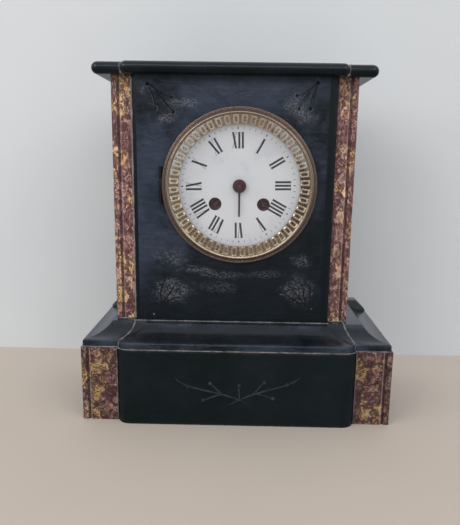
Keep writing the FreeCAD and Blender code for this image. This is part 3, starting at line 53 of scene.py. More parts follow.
class Value:
    """A shader socket. Sums, products and the like of values add Math nodes to its tree."""

    def __init__(self, socket):
        self.socket, self.tree = socket, socket.id_data

    def math(self, operation, *others):
        return put(self.tree, "Math", (self, *others), operation=operation)

    def vector(self, operation, *others, output=0):
        return put(self.tree, "VectorMath", (self, *others), output, operation=operation)

    def clamped(self):
        """Keeps the sum between 0 and 1."""
        self.socket.node.use_clamp = True
        return self

    def __add__(self, other):
        return self.math("ADD", other)

    def __sub__(self, other):
        return self.math("SUBTRACT", other)

    def __rsub__(self, other):
        return put(self.tree, "Math", (other, self), operation="SUBTRACT")

    def __mul__(self, other):
        return self.math("MULTIPLY", other)

    def __truediv__(self, other):
        return self.math("DIVIDE", other)


def link(value, socket):
    """Feeds an input socket a value, a number, a vector or a colour of three parts."""
    if isinstance(value, Value):
        value.tree.links.new(value.socket, socket)
    else:
        socket.default_value = (*value, 1) if socket.type == "RGBA" else value


def put(tree, kind, inputs=(), output=0, **settings):
    """Adds a shader node with its inputs, by name or in order, and gives one output."""
    node = tree.nodes.new("ShaderNode" + kind)
    for key, value in settings.items():
        setattr(node, key, value)
    for key, value in (inputs if isinstance(inputs, dict) else dict(enumerate(inputs))).items():
        link(value, node.inputs[key])
    return Value(node.outputs[output])


def xyz(vector):
    """The three parts of a vector."""
    split = put(vector.tree, "SeparateXYZ", (vector,)).socket.node
    return [Value(socket) for socket in split.outputs]


def noise(place, scale, detail=3.0, rough=0.5, distort=0.0):
    return put(place.tree, "TexNoise", {"Vector": place, "Scale": scale, "Detail": detail,
                                        "Roughness": rough, "Distortion": distort})


def tint(share, first, second, blend="MIX"):
    """Colour first turning to colour second as share goes from 0 to 1."""
    tree = next(value.tree for value in (share, first) if isinstance(value, Value))
    return put(tree, "Mix", {0: share, 6: first, 7: second}, 2, data_type="RGBA",
               blend_type=blend)


def bands(value, stops, easing):
    """Colours by value, from one stop to the next."""
    result = put(value.tree, "ValToRGB", (value,))
    ramp = result.socket.node.color_ramp
    ramp.interpolation = easing
    while len(ramp.elements) < len(stops):
        ramp.elements.new(1.0)
    for element, (at, color) in zip(ramp.elements, stops):
        element.position, element.color = at, (*color, 1)
    return result


def finish(name, **shader_values):
    """A material with plain values on its Principled shader, and its object coordinates."""
    material = bpy.data.materials.new(name)
    material.use_nodes = True
    shader = material.node_tree.nodes["Principled BSDF"]
    for key, value in shader_values.items():
        link(value, shader.inputs[key.replace("_", " ")])
    return material, put(material.node_tree, "TexCoord", output="Object")


def let_through(material, share):
    """Makes a material transparent for the share of rays that should pass."""
    tree = material.node_tree
    shader = Value(tree.nodes["Principled BSDF"].outputs[0])
    link(put(tree, "MixShader", (share, shader, put(tree, "BsdfTransparent"))),
         tree.nodes["Material Output"].inputs["Surface"])


def shaped(name, points, faces, smooth=True):
    """An object from points in millimetres and lists of corner numbers."""
    mesh = bpy.data.meshes.new(name)
    mesh.from_pydata((np.asarray(points, float) * MM).tolist(), [], faces)
    mesh.polygons.foreach_set("use_smooth", np.full(len(mesh.polygons), smooth))
    mesh.update()
    piece = bpy.data.objects.new(name, mesh)
    bpy.context.scene.collection.objects.link(piece)
    return piece


def room_sheet(name, corners, color):
    sheet = shaped(name, corners, [[0, 1, 2, 3]], smooth=False)
    material, place = finish(name, Roughness=0.8, Specular_IOR_Level=0.1)
    cloudy = tint(noise(place, 9.0), color, [part * 0.94 for part in color])
    link(cloudy, material.node_tree.nodes["Principled BSDF"].inputs["Base Color"])
    sheet.data.materials.append(material)
    return sheet, material


table_half, wall_half, wall_high, wall_y = 2500, 1400, 1500, 120
floor_sheet, _ = room_sheet(
    "table_top", [(-table_half, -table_half, 0), (table_half, -table_half, 0),
                  (table_half, table_half, 0), (-table_half, table_half, 0)],
    (0.54, 0.465, 0.385))
floor_sheet.visible_glossy = False
wall, wall_paint = room_sheet(
    "wall", [(-wall_half, wall_y, 0), (wall_half, wall_y, 0),
             (wall_half, wall_y, wall_high), (-wall_half, wall_y, wall_high)],
    (0.745, 0.765, 0.765))
wall.visible_diffuse = wall.visible_shadow = False
wall.visible_glossy = wall.visible_transmission = False
let_through(wall_paint, put(wall_paint.node_tree, "NewGeometry", output="Backfacing"))

world = bpy.data.worlds.new("pale_room")
bpy.context.scene.world = world
world.use_nodes = True
rise = xyz(put(world.node_tree, "TexCoord", output="Generated"))[2]
room_glow = bands(put(world.node_tree, "MapRange", (rise, -1.0, 1.0)), (
    (0.0, (0.18, 0.18, 0.175)), (0.42, (0.27, 0.28, 0.285)), (0.53, (0.5, 0.525, 0.57)),
    (0.7, (0.74, 0.77, 0.85)), (1.0, (0.9, 0.93, 1.0))), "LINEAR")
link(room_glow, world.node_tree.nodes["Background"].inputs["Color"])


def lamp(name, place, power, size, color, tall=None):
    """A square lamp, or with tall a strip, turned to the middle of the clock."""
    light = bpy.data.lights.new(name, "AREA")
    light.energy, light.size, light.color = power, size, color
    if tall:
        light.shape, light.size_y = "RECTANGLE", tall
    holder = bpy.data.objects.new(name, light)
    holder.location = place
    aim = Vector((0, 0, 0.16)) - Vector(place)
    holder.rotation_euler = aim.to_track_quat("-Z", "Y").to_euler()
    bpy.context.scene.collection.objects.link(holder)


lamp("window_left", (-1.5, -1.3, 1.25), 12.5, 1.3, (1.0, 0.98, 0.95))
lamp("window_high", (-0.25, -1.25, 1.08), 3.0, 1.5, (0.95, 0.98, 1.0), tall=0.16)
lamp("lamp_right", (1.3, -1.5, 1.5), 8, 1.1, (0.95, 0.97, 1.0))

# The camera's place, turn and lens, as fitted to the clock's outline in the photo
camera_place = (4.39153, -521.5342, 240.86868)
yaw, pitch, roll = -0.01161, -0.19558, 0.01536
ahead = Vector((math.sin(yaw) * math.cos(pitch), math.cos(yaw) * math.cos(pitch),
                math.sin(pitch)))
across = Vector((math.cos(yaw), -math.sin(yaw), 0))
above = across.cross(ahead)
right_way = across * math.cos(roll) + above * math.sin(roll)
up_way = above * math.cos(roll) - across * math.sin(roll)
lens = bpy.data.cameras.new("camera")
lens.sensor_fit, lens.sensor_width = "HORIZONTAL", 36
lens.lens, lens.shift_x = 42.184, -0.014864
lens.clip_start, lens.clip_end = 0.01, 20
camera = bpy.data.objects.new("camera", lens)
turn = Matrix((right_way, up_way, -ahead)).transposed().to_4x4()
camera.matrix_world = Matrix.Translation(Vector(camera_place) * MM) @ turn
bpy.context.scene.collection.objects.link(camera)
bpy.context.scene.camera = camera
bpy.context.scene.view_settings.view_transform = "Standard"

# Slate case: sawn slabs of black slate, bound with iron wire and plaster inside, with the
# faces ground, blackened and polished. The polish is hazed with dust and rubbed along the
# edges, most on the upper front, and dust lies on every ledge that looks up. On the front
# panel and the moulding a painted reflection of the room lies in the haze.

MASK = {"Mask": "Float"}
SKIN = {"Color": "Color", "Roughness": "Float", "Height": "Float"}


def step(value, low, high, start=0.0, end=1.0):
    """Eases from start to end while value goes from low to high."""
    return put(value.tree, "MapRange", (value, low, high, start, end),
               interpolation_type="SMOOTHSTEP")


def stretched(place, scale, shift=(0, 0, 0)):
    """place scaled and moved by three numbers each, for marks that run along one way."""
    return put(place.tree, "Mapping", {"Vector": place, "Location": shift, "Scale": scale})


def effect(name, inputs, outputs):
    """A new shader node group with a place as its first input: the group, its given values
    by name, the place among them, and its output sockets."""
    group = bpy.data.node_groups.new(name, "ShaderNodeTree")
    for way, sockets in (("INPUT", {"Place": "Vector", **inputs}), ("OUTPUT", outputs)):
        for label, kind in sockets.items():
            group.interface.new_socket(name=label, in_out=way, socket_type="NodeSocket" + kind)
    given = {socket.name: Value(socket) for socket in group.nodes.new("NodeGroupInput").outputs}
    return group, given, given["Place"], group.nodes.new("NodeGroupOutput").inputs


def use(group, place, **inputs):
    """Places a node group in a material with its own values, and gives its outputs by name."""
    node = put(place.tree, "Group", {"Place": place, **inputs}, node_tree=group).socket.node
    return {socket.name: Value(socket) for socket in node.outputs}


def wire(material, color, rough, height, strength, reach):
    """Feeds colour, roughness and a bump from height to a material's Principled shader."""
    shader = material.node_tree.nodes["Principled BSDF"]
    bump = put(height.tree, "Bump", {"Strength": strength, "Distance": reach, "Height": height})
    for value, label in ((color, "Base Color"), (rough, "Roughness"), (bump, "Normal")):
        link(value, shader.inputs[label])


def dress(names, material):
    """Gives CAD nodes, by their names in one string, a material."""
    for name in names.split():
        nodes[name].data.materials.clear()
        nodes[name].data.materials.append(material)


# The polish: haze in clouds and wiping streaks, fine pits and hair scratches. On the front panel
# and the moulding the haze also carries painted reflection.
slate_skin, given, place, out = effect(
    "slate_skin", {"Base": "Color", "Haze": "Color", "Share": "Float"}, SKIN)
clouds = step(noise(place, 17, 4, 0.6, 0.4), 0.36, 0.68)
wipes = step(noise(stretched(place, (1, 1, 3.2)), 60, 5, 0.7, 0.8), 0.42, 0.72)
specks = step(noise(place, 620, 2), 0.6, 0.74)
haze_and_sheen = (given["Share"] * (clouds * 0.62 + wipes * 0.38) + specks * 0.16).clamped()
pits = step(noise(place, 900, 2), 0.35, 0.5)
link(tint(haze_and_sheen, given["Base"], given["Haze"]), out["Color"])
link(haze_and_sheen * 0.34 + 0.26, out["Roughness"])
link(pits * 0.06 + noise(place, 34) * 0.8, out["Height"])

# Rubbed edges: high where a point is near two sides of its slab's box at once
edge_rub, given, place, out = effect(
    "edge_rub", {"Low": "Vector", "High": "Vector", "Width": "Float"}, MASK)
x, y, z = xyz(place.vector("SUBTRACT", given["Low"]).vector(
    "MINIMUM", given["High"].vector("SUBTRACT", place)))
smallest = x.math("MINIMUM", y.math("MINIMUM", z))
largest = x.math("MAXIMUM", y.math("MAXIMUM", z))
middle = x + (y + z) - (smallest + largest)
broken = step(noise(place, 210, 4, 0.6), 0.35, 0.65)
link(step(middle / given["Width"], 1.0, 0.1) * broken, out["Mask"])

# Settled dust: high on what looks up, in drifts
ledge_dust, given, place, out = effect("ledge_dust", {"Amount": "Float"}, MASK)
looks_up = step(xyz(put(ledge_dust, "NewGeometry", output="Normal"))[2], 0.55, 0.98)
drifts = step(noise(place, 46, 5, 0.65), 0.25, 0.75)
link(given["Amount"] * (looks_up * drifts), out["Mask"])

# A soft ragged patch, for chalky wear about a place
worn_patch, given, place, out = effect(
    "worn_patch", {"Center": "Vector", "Reach": "Vector", "Grain": "Float"}, MASK)
far = place.vector("SUBTRACT", given["Center"]).vector("DIVIDE", given["Reach"]).vector(
    "LENGTH", output="Value")
ragged = far + (noise(place, 85, 4, 0.7) - 0.5) * 1.6
flakes = step(noise(stretched(place, (1, 1, 1.9)), given["Grain"], 5, 0.8), 0.47, 0.6)
link(step(ragged, 1.0, 0.2) * flakes, out["Mask"])


def worn(place, color, patch, shade):
    """A worn patch over a colour: its centre and reach in millimetres, grain and strength."""
    center, reach, grain, strength = patch
    mask = use(worn_patch, place, Center=Vector(center) * MM, Reach=Vector(reach) * MM,
               Grain=grain)["Mask"]
    return tint(mask * strength, color, shade)


def rubbed(name, place, color, width, share, shade):
    """A node's colour with its rubbed edges, so many metres wide."""
    low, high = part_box(name)
    return tint(use(edge_rub, place, Low=low, High=high, Width=width)["Mask"] * share, color,
                shade)


def slate(names, base, haze_and_sheen, share, specular, dust, rub, gloss=0.26,
          patches=(), spread=None):
    """Gives slate nodes their polish. spread says where the haze, and with it any painted
    reflection, lies, as a function of the place and of its full share."""
    for name in names.split():
        material, place = finish("slate_" + name, Specular_IOR_Level=specular)
        skin = use(slate_skin, place, Base=base, Haze=haze_and_sheen,
                   Share=spread(place, share) if spread else share)
        dusty = use(ledge_dust, place, Amount=dust)["Mask"]
        color = rubbed(name, place, skin["Color"], 0.0022, rub, (0.16, 0.15, 0.14))
        color = tint(dusty, color, (0.17, 0.16, 0.145))
        for patch in patches:
            color = worn(place, color, patch, (0.29, 0.3, 0.325))
        rough = (skin["Roughness"] + (dusty * 0.5 + (gloss - 0.26))).clamped()
        wire(material, color, rough, skin["Height"], 0.25, 0.0006)
        dress(name, material)


def panel_haze_and_reflection(place, share):
    """Haze and painted reflection of the room that grow up the panel, more to the left, and end
    short of its two rounded edges, which stay dark as a painted dark reflection.
    """
    x, y, z = xyz(place)
    amount = step(z - x * 0.42, 0.125, 0.2, share * 0.16, share)
    for edge, inner in ((-0.0916, -0.0906), (0.078, 0.076)):
        amount = amount * step(x, edge, inner)
    return amount


def moulding_haze_and_sheen(place, share):
    """Haze with a painted sheen: lighter on the nose and on the top of the hollow moulding, where
    the polish reflects the room.
    """
    z = xyz(place)[2]
    return (step(z, 0.0769, 0.0762) + step(z, 0.0825, 0.0875, 0.16, 0.9)) * share


wear_y, wear_deep = -37, 8
panel_wear = [((x, wear_y, z), (wide, wear_deep, tall), grain, strength)
              for x, z, wide, tall, grain, strength in (
    (-50, 285.5, 19, 6, 560, 0.5), (-64.5, 273, 10, 6, 600, 0.62), (-85, 296, 5, 9, 500, 0.3),
    (48, 284, 13, 13, 620, 0.62), (56, 275, 14, 10, 620, 0.5), (-60, 118, 26, 16, 520, 0.46),
    (-60, 149, 19, 12, 420, 0.34), (-38, 137, 22, 4, 480, 0.4), (-14, 133, 26, 5, 480, 0.33),
    (22, 134, 24, 5, 430, 0.26), (-18, 121, 24, 8, 400, 0.2), (55, 119, 20, 17, 560, 0.46),
    (57, 147, 13, 8, 480, 0.3), (0, 296, 70, 8, 300, 0.07))]
# The front panel's blue-grey haze colour and its spread are painted reflection of the room, laid
# over real haze and chalky wear.
slate("front_panel", (0.004, 0.0072, 0.0088), (0.045, 0.06, 0.096), 0.95, 0.26, 0.2,
      0.1, patches=panel_wear, spread=panel_haze_and_reflection)
slate("side_panel_left side_panel_right case_back", (0.007, 0.009, 0.012),
      (0.026, 0.032, 0.042), 0.7, 0.35, 0.3, 0.3)
slate("base_front_block", (0.0044, 0.0078, 0.0084), (0.01, 0.017, 0.022), 0.6, 0.2, 0.25,
      0.16)
slate("base_side_left base_side_right", (0.006, 0.008, 0.01), (0.022, 0.027, 0.034), 0.7,
      0.35, 0.3, 0.3)
# The back slab is a much paler grey than the other slate: its dust, and painted light on the face
# that shows beside the moulding.
slate("base_back_slab", (0.058, 0.062, 0.068), (0.125, 0.13, 0.14), 1.0, 0.35, 0.8, 0.3)
# The moulding's blue-grey haze colour is a painted sheen, reflection of the room on its nose and
# top.
slate("moulding_center moulding_left moulding_right", (0.0025, 0.0052, 0.0075),
      (0.043, 0.058, 0.084), 0.9, 0.34, 0.06, 0.3, gloss=0.16, spread=moulding_haze_and_sheen)
slate("cornice_center cornice_left cornice_right", (0.0022, 0.0044, 0.0062),
      (0.01, 0.018, 0.023), 0.6, 0.32, 0.1, 0.2, gloss=0.06)

# Marble blocks and strips: a brecciated marble of purple-brown ground with ochre, tan and
# pale stones set in it, sawn, polished and stuck to the front with plaster. A sawn groove
# runs down each strip near its outer edge, drawn as a dark line of painted shade.

breccia, given, place, out = effect(
    "breccia", {"Stones": "Float", "Ochre": "Float", "Dark": "Float"}, SKIN)
bent = put(breccia, "TexNoise", {"Vector": place, "Scale": 170.0, "Detail": 3.0}, "Color")
swirled = place.vector("ADD", bent.vector("SUBTRACT", (0.5, 0.5, 0.5)).vector(
    "MULTIPLY", (0.016, 0.016, 0.016)))


def ridge(place, scale, width, shift=0.5):
    """High along the lines where a noise passes a middle value: thin wandering veins."""
    away = (noise(place, scale, 3, 0.6, 1.2) - shift).math("ABSOLUTE")
    return step(away, width, width * 0.25)


def grey(value):
    return put(value.tree, "CombineColor", (value, value, value))


cell = {"Vector": swirled, "Scale": given["Stones"]}
stone = put(breccia, "SeparateColor", (put(breccia, "TexVoronoi", cell, "Color"),))
gap = put(breccia, "TexVoronoi", cell, "Distance", feature="DISTANCE_TO_EDGE")
mottle = noise(swirled, 200, 5, 0.7)
fine = noise(place, 950, 3, 0.75)
vein = (0.06, 0.018, 0.024)
color = bands(stone, (
    (0.0, (0.18, 0.07, 0.075)), (0.22, (0.4, 0.2, 0.175)), (0.38, (0.27, 0.12, 0.115)),
    (0.5, (0.56, 0.35, 0.27)), (0.64, (0.72, 0.45, 0.2)), (0.78, (0.8, 0.5, 0.18)),
    (0.9, (0.38, 0.19, 0.16)), (1.0, (0.64, 0.45, 0.35))), "EASE")
for mask, share, shade in (
        (step(mottle, 0.52, 0.6), 0.6, (0.15, 0.056, 0.06)),
        (step(mottle, 0.46, 0.38), 0.55, (0.82, 0.56, 0.39)),
        (step(noise(swirled, 52, 3, 0.6), 0.55, 0.63), given["Ochre"], (0.85, 0.52, 0.16)),
        (ridge(swirled, 125, 0.05, 0.56), 0.55, (0.86, 0.64, 0.5)),
        (step(gap, 0.13, 0.03), 0.8, vein), (ridge(swirled, 95, 0.06), 0.9, vein),
        (ridge(swirled, 230, 0.07, 0.46), 0.55, (0.085, 0.03, 0.032))):
    color = tint(mask * share, color, shade)
color = tint(0.8, color, grey(fine), "SOFT_LIGHT")
link(tint(1.0, color, grey(1.0 - given["Dark"]), "MULTIPLY"), out["Color"])
link(fine * 0.25 + 0.24, out["Roughness"])
link(step(gap, 0.0, 0.05) * 0.5 + fine * 0.15, out["Height"])


def marble(name, scale, shift, ochre, dark, patch=None, stretch=(1, 1, 1)):
    """Marble cut from its own place in the block, with its groove as a dark line of painted
    shade and, beside it, a bright edge. A patch is a worn pale spot."""
    material, place = finish("marble_" + name, Specular_IOR_Level=0.4)
    skin = use(breccia, stretched(place, stretch, shift), Stones=scale, Ochre=ochre, Dark=dark)
    color = skin["Color"]
    if patch:
        color = worn(place, color, patch, (0.42, 0.34, 0.27))
    color = rubbed(name, place, color, 0.0016, 0.35, (0.1, 0.06, 0.055))
    low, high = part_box(name)
    outer, inwards = (low[0], 1) if name.endswith("left") else (high[0], -1)
    # The bright edge line, then the groove's dark line, which is painted shade in the groove.
    for inset, wide, share, shade in ((0.0079, 0.0006, 0.22, (0.6, 0.45, 0.38)),
                                      (0.006, 0.0012, 0.72, (0.05, 0.02, 0.022))):
        away = (xyz(place)[0] - (outer + inwards * inset)).math("ABSOLUTE")
        color = tint(step(away, wide, wide * 0.7, 0.0, share), color, shade)
    wire(material, color, skin["Roughness"], skin["Height"], 0.25, 0.0004)
    dress(name, material)


marble("base_marble_left", 58.0, (0.31, 0.0, 0.12), 0.7, 0.36,
       ((-121, -62, 10), (5, 14, 8), 160.0, 0.75))
marble("base_marble_right", 60.0, (0.83, 0.0, 0.47), 0.25, 0.4)
marble("pilaster_left", 82.0, (0.12, 0.0, 0.7), 0.35, -0.22, stretch=(1.15, 1, 0.75))
marble("pilaster_right", 82.0, (0.57, 0.0, 0.33), 0.35, -0.14, stretch=(1.15, 1, 0.75))

# Plaster lines: the joints between slabs are filled with fine plaster, rubbed flush and gone
# pale grey, and putty fills the joint left of the panel. They stand as thin uneven beads
# along each joint that shows.


def resampled(path, spacing):
    """Points along straight runs, one every spacing millimetres, with the corners kept."""
    path = np.asarray(path, float)
    runs = np.linalg.norm(np.diff(path, axis=0), axis=1)
    far = np.concatenate([[0.0], np.cumsum(runs)])
    at = np.unique(np.concatenate([far, np.arange(0, far[-1], spacing)]))
    return np.stack([np.interp(at, far, path[:, axis]) for axis in range(3)], axis=1)


def grid_faces(rows, columns, around=False, wrap_rows=False):
    """Four-cornered faces between neighbours of a grid, closed across the ends if asked."""
    row = np.arange(rows if wrap_rows else rows - 1)
    column = np.arange(columns if around else columns - 1)
    row, column = np.meshgrid(row, column, indexing="ij")
    below, after = (row + 1) % rows, (column + 1) % columns
    return np.stack([row * columns + column, row * columns + after,
                     below * columns + after, below * columns + column], -1).reshape(-1, 4)


def tube_faces(rings, sides):
    """Faces of a tube of rings of points, with its two ends."""
    ends = [list(range(sides))[::-1], [(rings - 1) * sides + k for k in range(sides)]]
    return grid_faces(rings, sides, around=True).tolist() + ends


def swept(path, radius, sides=8):
    """A round bead: circles of a radius per point, square to the path, on a steady frame."""
    ahead_of = np.gradient(path, axis=0)
    ahead_of /= np.linalg.norm(ahead_of, axis=1, keepdims=True)
    guide = np.array([0.31, 0.59, 0.74])
    side_way = np.cross(ahead_of, guide)
    side_way /= np.linalg.norm(side_way, axis=1, keepdims=True)
    other_way = np.cross(ahead_of, side_way)
    angle = np.linspace(0, 2 * math.pi, sides, endpoint=False)
    ring = (np.cos(angle)[None, :, None] * side_way[:, None]
            + np.sin(angle)[None, :, None] * other_way[:, None])
    points = path[:, None] + ring * radius[:, None, None]
    return points.reshape(-1, 3), tube_faces(len(path), sides)


def stacked(parts):
    """Beads of any length as one pair of points and faces, with mixed face sizes."""
    points, faces, start = [], [], 0
    for some_points, some_faces in parts:
        points.append(some_points)
        faces += [[corner + start for corner in face] for face in some_faces]
        start += len(some_points)
    return np.concatenate(points), faces


def mesh_piece(name, parts, body, material, smooth=True):
    """One closed object from stacked parts, faces outwards, riding on a body."""
    points, faces = stacked(parts)
    piece = shaped(name, points, faces, smooth)
    work = bmesh.new()
    work.from_mesh(piece.data)
    bmesh.ops.recalc_face_normals(work, faces=work.faces)
    work.to_mesh(piece.data)
    work.free()
    piece.data.materials.append(material)
    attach(piece, body)
    return piece


def bead(path, size, seed):
    """A plaster bead: its radius swells and thins along the joint in three uneven waves."""
    path = resampled(path, 1.4)
    far = np.arange(len(path))
    swell = (1 + 0.22 * np.sin(far * 0.37 + seed) + 0.16 * np.sin(far * 0.91 + seed * 2.3)
             + 0.1 * np.sin(far * 2.1 + seed * 5.1))
    return swept(path, size * swell)


def plaster_finish(name, low, high):
    """Matt plaster or putty, greyer where it is dirty, with a fine grit."""
    material, place = finish(name, Specular_IOR_Level=0.2)
    clean = step(noise(place, 150, 4, 0.65), 0.3, 0.7)
    grit = noise(place, 1400)
    wire(material, tint(clean, low, high), step(grit, 0.3, 0.7, 0.7, 0.95), grit, 0.5, 0.0003)
    return material


plaster = plaster_finish("plaster", (0.105, 0.097, 0.092), (0.25, 0.232, 0.216))
putty = plaster_finish("putty", (0.15, 0.125, 0.13), (0.3, 0.255, 0.26))
base_top, panel_foot = 70.2, 88.2
spin = np.radians(np.linspace(90, 0, 7))
corner = np.stack([96.2 + 12.3 * np.sin(spin), -57.4 - 11.2 * np.cos(spin),
                   np.full(7, base_top)], axis=1)
front_top = np.concatenate([corner * (-1, 1, 1), corner[::-1]])
# Height of the moulding's face by the distance inwards from the front of its ends
moulding_run = np.array([(0.0, 70.4), (1.49, 70.4), (1.5, 75.2), (2.1, 76.2), (3.6, 76.6),
                         (5.6, 76.7), (7.6, 77.0), (9.6, 77.5), (13.6, 78.9), (17.6, 81.2),
                         (21.6, 84.8), (24.1, 88.0), (24.6, 88.1), (40.0, 88.1)])


def on_moulding(plan):
    """Lays a plan path on the moulding: each point at the higher of the end and centre runs."""
    plan = resampled([(x, y, 0.0) for x, y in plan], 1.0)
    from_front, from_end = plan[:, 1] + 69.6, 108.0 - np.abs(plan[:, 0])
    inward = np.maximum(plan[:, 1] + 62.1, np.minimum(from_end, from_front))
    plan[:, 2] = np.interp(inward, moulding_run[:, 0], moulding_run[:, 1])
    return plan


joint_plans = ([(-106.0, -60.3), (-104.2, -57.8), (-101.7, -51.7), (-98.8, -47.3), (-96.6, -42.5),
                (-95.6, -39.5), (-95.5, -37.2)],
               [(106.2, -60.3), (106.0, -58.8), (104.8, -51.4), (102.6, -45.5), (100.8, -42.0),
                (99.7, -39.1), (99.2, -36.7), (99.1, -31.4)])
lines = [bead(front_top, 0.55, 0.3)]
for sign in (-1, 1):
    lines += [
        bead([(sign * 109, -61.4, base_top), (sign * 139.6, -61.4, base_top),
              (sign * 139.6, 49.0, base_top)], 0.6, 1.0 + sign),
        bead([(sign * 107.9, -62.2, 0.6), (sign * 107.9, -62.2, 69.6)], 0.3, 2.0 + sign),
        bead([(sign * 106.4, -60.9, 70.4), (sign * 106.4, -60.9, 75.4)], 0.55, 3.0 + sign),
    ]
lines += [bead(on_moulding(plan), 0.78, 4.4 + plan[0][0]) for plan in joint_plans]
mesh_piece("plaster_base", lines, "case", plaster)
lines = [
    bead([(-96.4, -37.3, panel_foot), (85.2, -37.3, panel_foot)], 0.55, 0.9),
    bead([(-96.6, -30.3, 89), (-96.6, -30.3, 307)], 0.3, 1.7),
    bead([(85.3, -30.2, 89), (85.3, -30.2, 307)], 0.26, 2.9),
    bead([(-114, -30.4, panel_foot), (-97, -31.0, panel_foot), (-96.6, -37.3, panel_foot)],
         0.65, 4.1),
    bead([(86, -30.4, panel_foot), (102.8, -30.4, panel_foot)], 0.65, 5.3),
]
nose_y, nose_z, nose_square = -37.5, 313.2, 26.0
for x in (-103.4, 92.2):
    rise = np.linspace(-4.6, 4.9, 9)
    lines.append(bead(np.stack([np.full(9, x), nose_y - np.sqrt(nose_square - rise ** 2),
                                nose_z + rise], -1), 0.42, x))
for x in (-102.1, 90.9):
    lines.append(bead([(x, -44.0, 309.1), (x, -38.0, 308.9), (x, -31.4, 308.9)], 1.1, x))
mesh_piece("plaster_upper", lines, "case", plaster)
mesh_piece("putty_line", [bead([(-95.3, -35.0, 89), (-95.1, -35.6, 306.5)], 0.72, 2.2)], "case",
           putty)

# Engraving: sprays of stems, leaves and dots, cut shallow into the polished slate. The cuts
# read as matt lines, dark in the worn upper corners and pale grey on the base and foot, so
# each is a low rounded line lying on the face. The near-black of the upper lines and dots
# and of the foot's stems is painted shade in their grooves.


def curve(points, count=24):
    """A smooth curve drawn by its control points: their weighted mean, weights sliding along."""
    points = np.asarray(points, float)
    t = np.linspace(0, 1, count)[:, None]
    last = len(points) - 1
    weights = np.concatenate([math.comb(last, k) * t ** k * (1 - t) ** (last - k)
                              for k in range(last + 1)], axis=1)
    return weights @ points


sunk, line_proud, dot_proud = 0.01, 0.06, 0.07
lane_offset = np.array([-0.5, -0.3, 0, 0.3, 0.5])
lane_lift = np.array([0, 0.75, 1, 0.75, 0])


def cut_line(points, wide, face_y):
    """A tapered line on the face: five points across, lifted as a half ellipse, ends at zero."""
    flat = curve(points)
    count, lanes = len(flat), len(lane_offset)
    ahead_of = np.gradient(flat, axis=0)
    ahead_of /= np.linalg.norm(ahead_of, axis=1, keepdims=True) + 1e-9
    across_it = np.stack([-ahead_of[:, 1], ahead_of[:, 0]], axis=1)
    width = wide * (0.25 + 0.75 * np.sin(math.pi * np.linspace(0, 1, count)) ** 0.8)
    plan = flat[:, None] + across_it[:, None] * (width[:, None] * lane_offset)[..., None]
    y = np.broadcast_to(face_y + sunk - line_proud * lane_lift, (count, lanes))
    faces = grid_faces(count, lanes)[:, ::-1].tolist()
    faces += [[k * lanes + lanes - 1, k * lanes, (k + 1) * lanes, (k + 2) * lanes - 1]
              for k in range(count - 1)]
    faces += [list(range(lanes))[::-1], [(count - 1) * lanes + k for k in range(lanes)]]
    return np.stack([plan[..., 0], y, plan[..., 1]], axis=-1).reshape(-1, 3), faces


def spun(radius, depth, angle, center):
    """Points at a radius and depth, turned by an angle about an axis along Y."""
    radius, depth, angle = np.broadcast_arrays(radius, depth, angle)
    return np.stack([center[0] + radius * np.cos(angle), depth,
                     center[1] + radius * np.sin(angle)], -1)


def dot(center, radius, face_y, rings=4, sides=16):
    """A low round boss: height falls off as one less the square of the distance out."""
    far = np.linspace(0, 1, rings + 1)[1:, None]
    angle = np.linspace(0, 2 * math.pi, sides, endpoint=False)
    y = face_y + sunk - dot_proud * (1 - far ** 2)
    points = spun(radius * far, y, angle, center).reshape(-1, 3)
    points = np.concatenate([points, [[center[0], face_y - dot_proud, center[1]]]])
    faces = grid_faces(rings, sides, around=True).tolist()
    faces += [[rings * sides, k, (k + 1) % sides] for k in range(sides)]
    return points, faces + [[(rings - 1) * sides + k for k in range(sides)]]


def line_finish(name, low, high, rough=0.8):
    """The matt floor of a cut, in two shades, with a fine grit."""
    material, place = finish(name, Specular_IOR_Level=0.15)
    shades = step(noise(place, 260, 3, 0.6), 0.35, 0.65)
    grit = noise(place, 1500, 2)
    wire(material, tint(shades, low, high), step(grit, 0.3, 0.7, rough - 0.1, rough + 0.1),
         grit, 0.4, 0.0002)
    return material


def carve(name, face_y, material, strokes, bosses=()):
    """A piece of cut lines, by width and control points, and of dots, by place and radius."""
    mesh_piece(name, [cut_line(points, wide, face_y) for wide, points in strokes]
               + [dot((x, z), radius, face_y) for x, z, radius in bosses],
               "case", material)


def half_ring(x, z, radius, first):
    """Control points of a line half of the way around a dot, from a bearing in degrees."""
    half = math.radians(85)
    outer = radius / math.cos(half * 0.62)
    angle = math.radians(first) + half * (1 + np.linspace(-1, 1, 4))
    return spun(np.array([radius, outer, outer, radius]), 0, angle, (x, z))[:, ::2]


panel_y, base_y = -37.1, -69.6
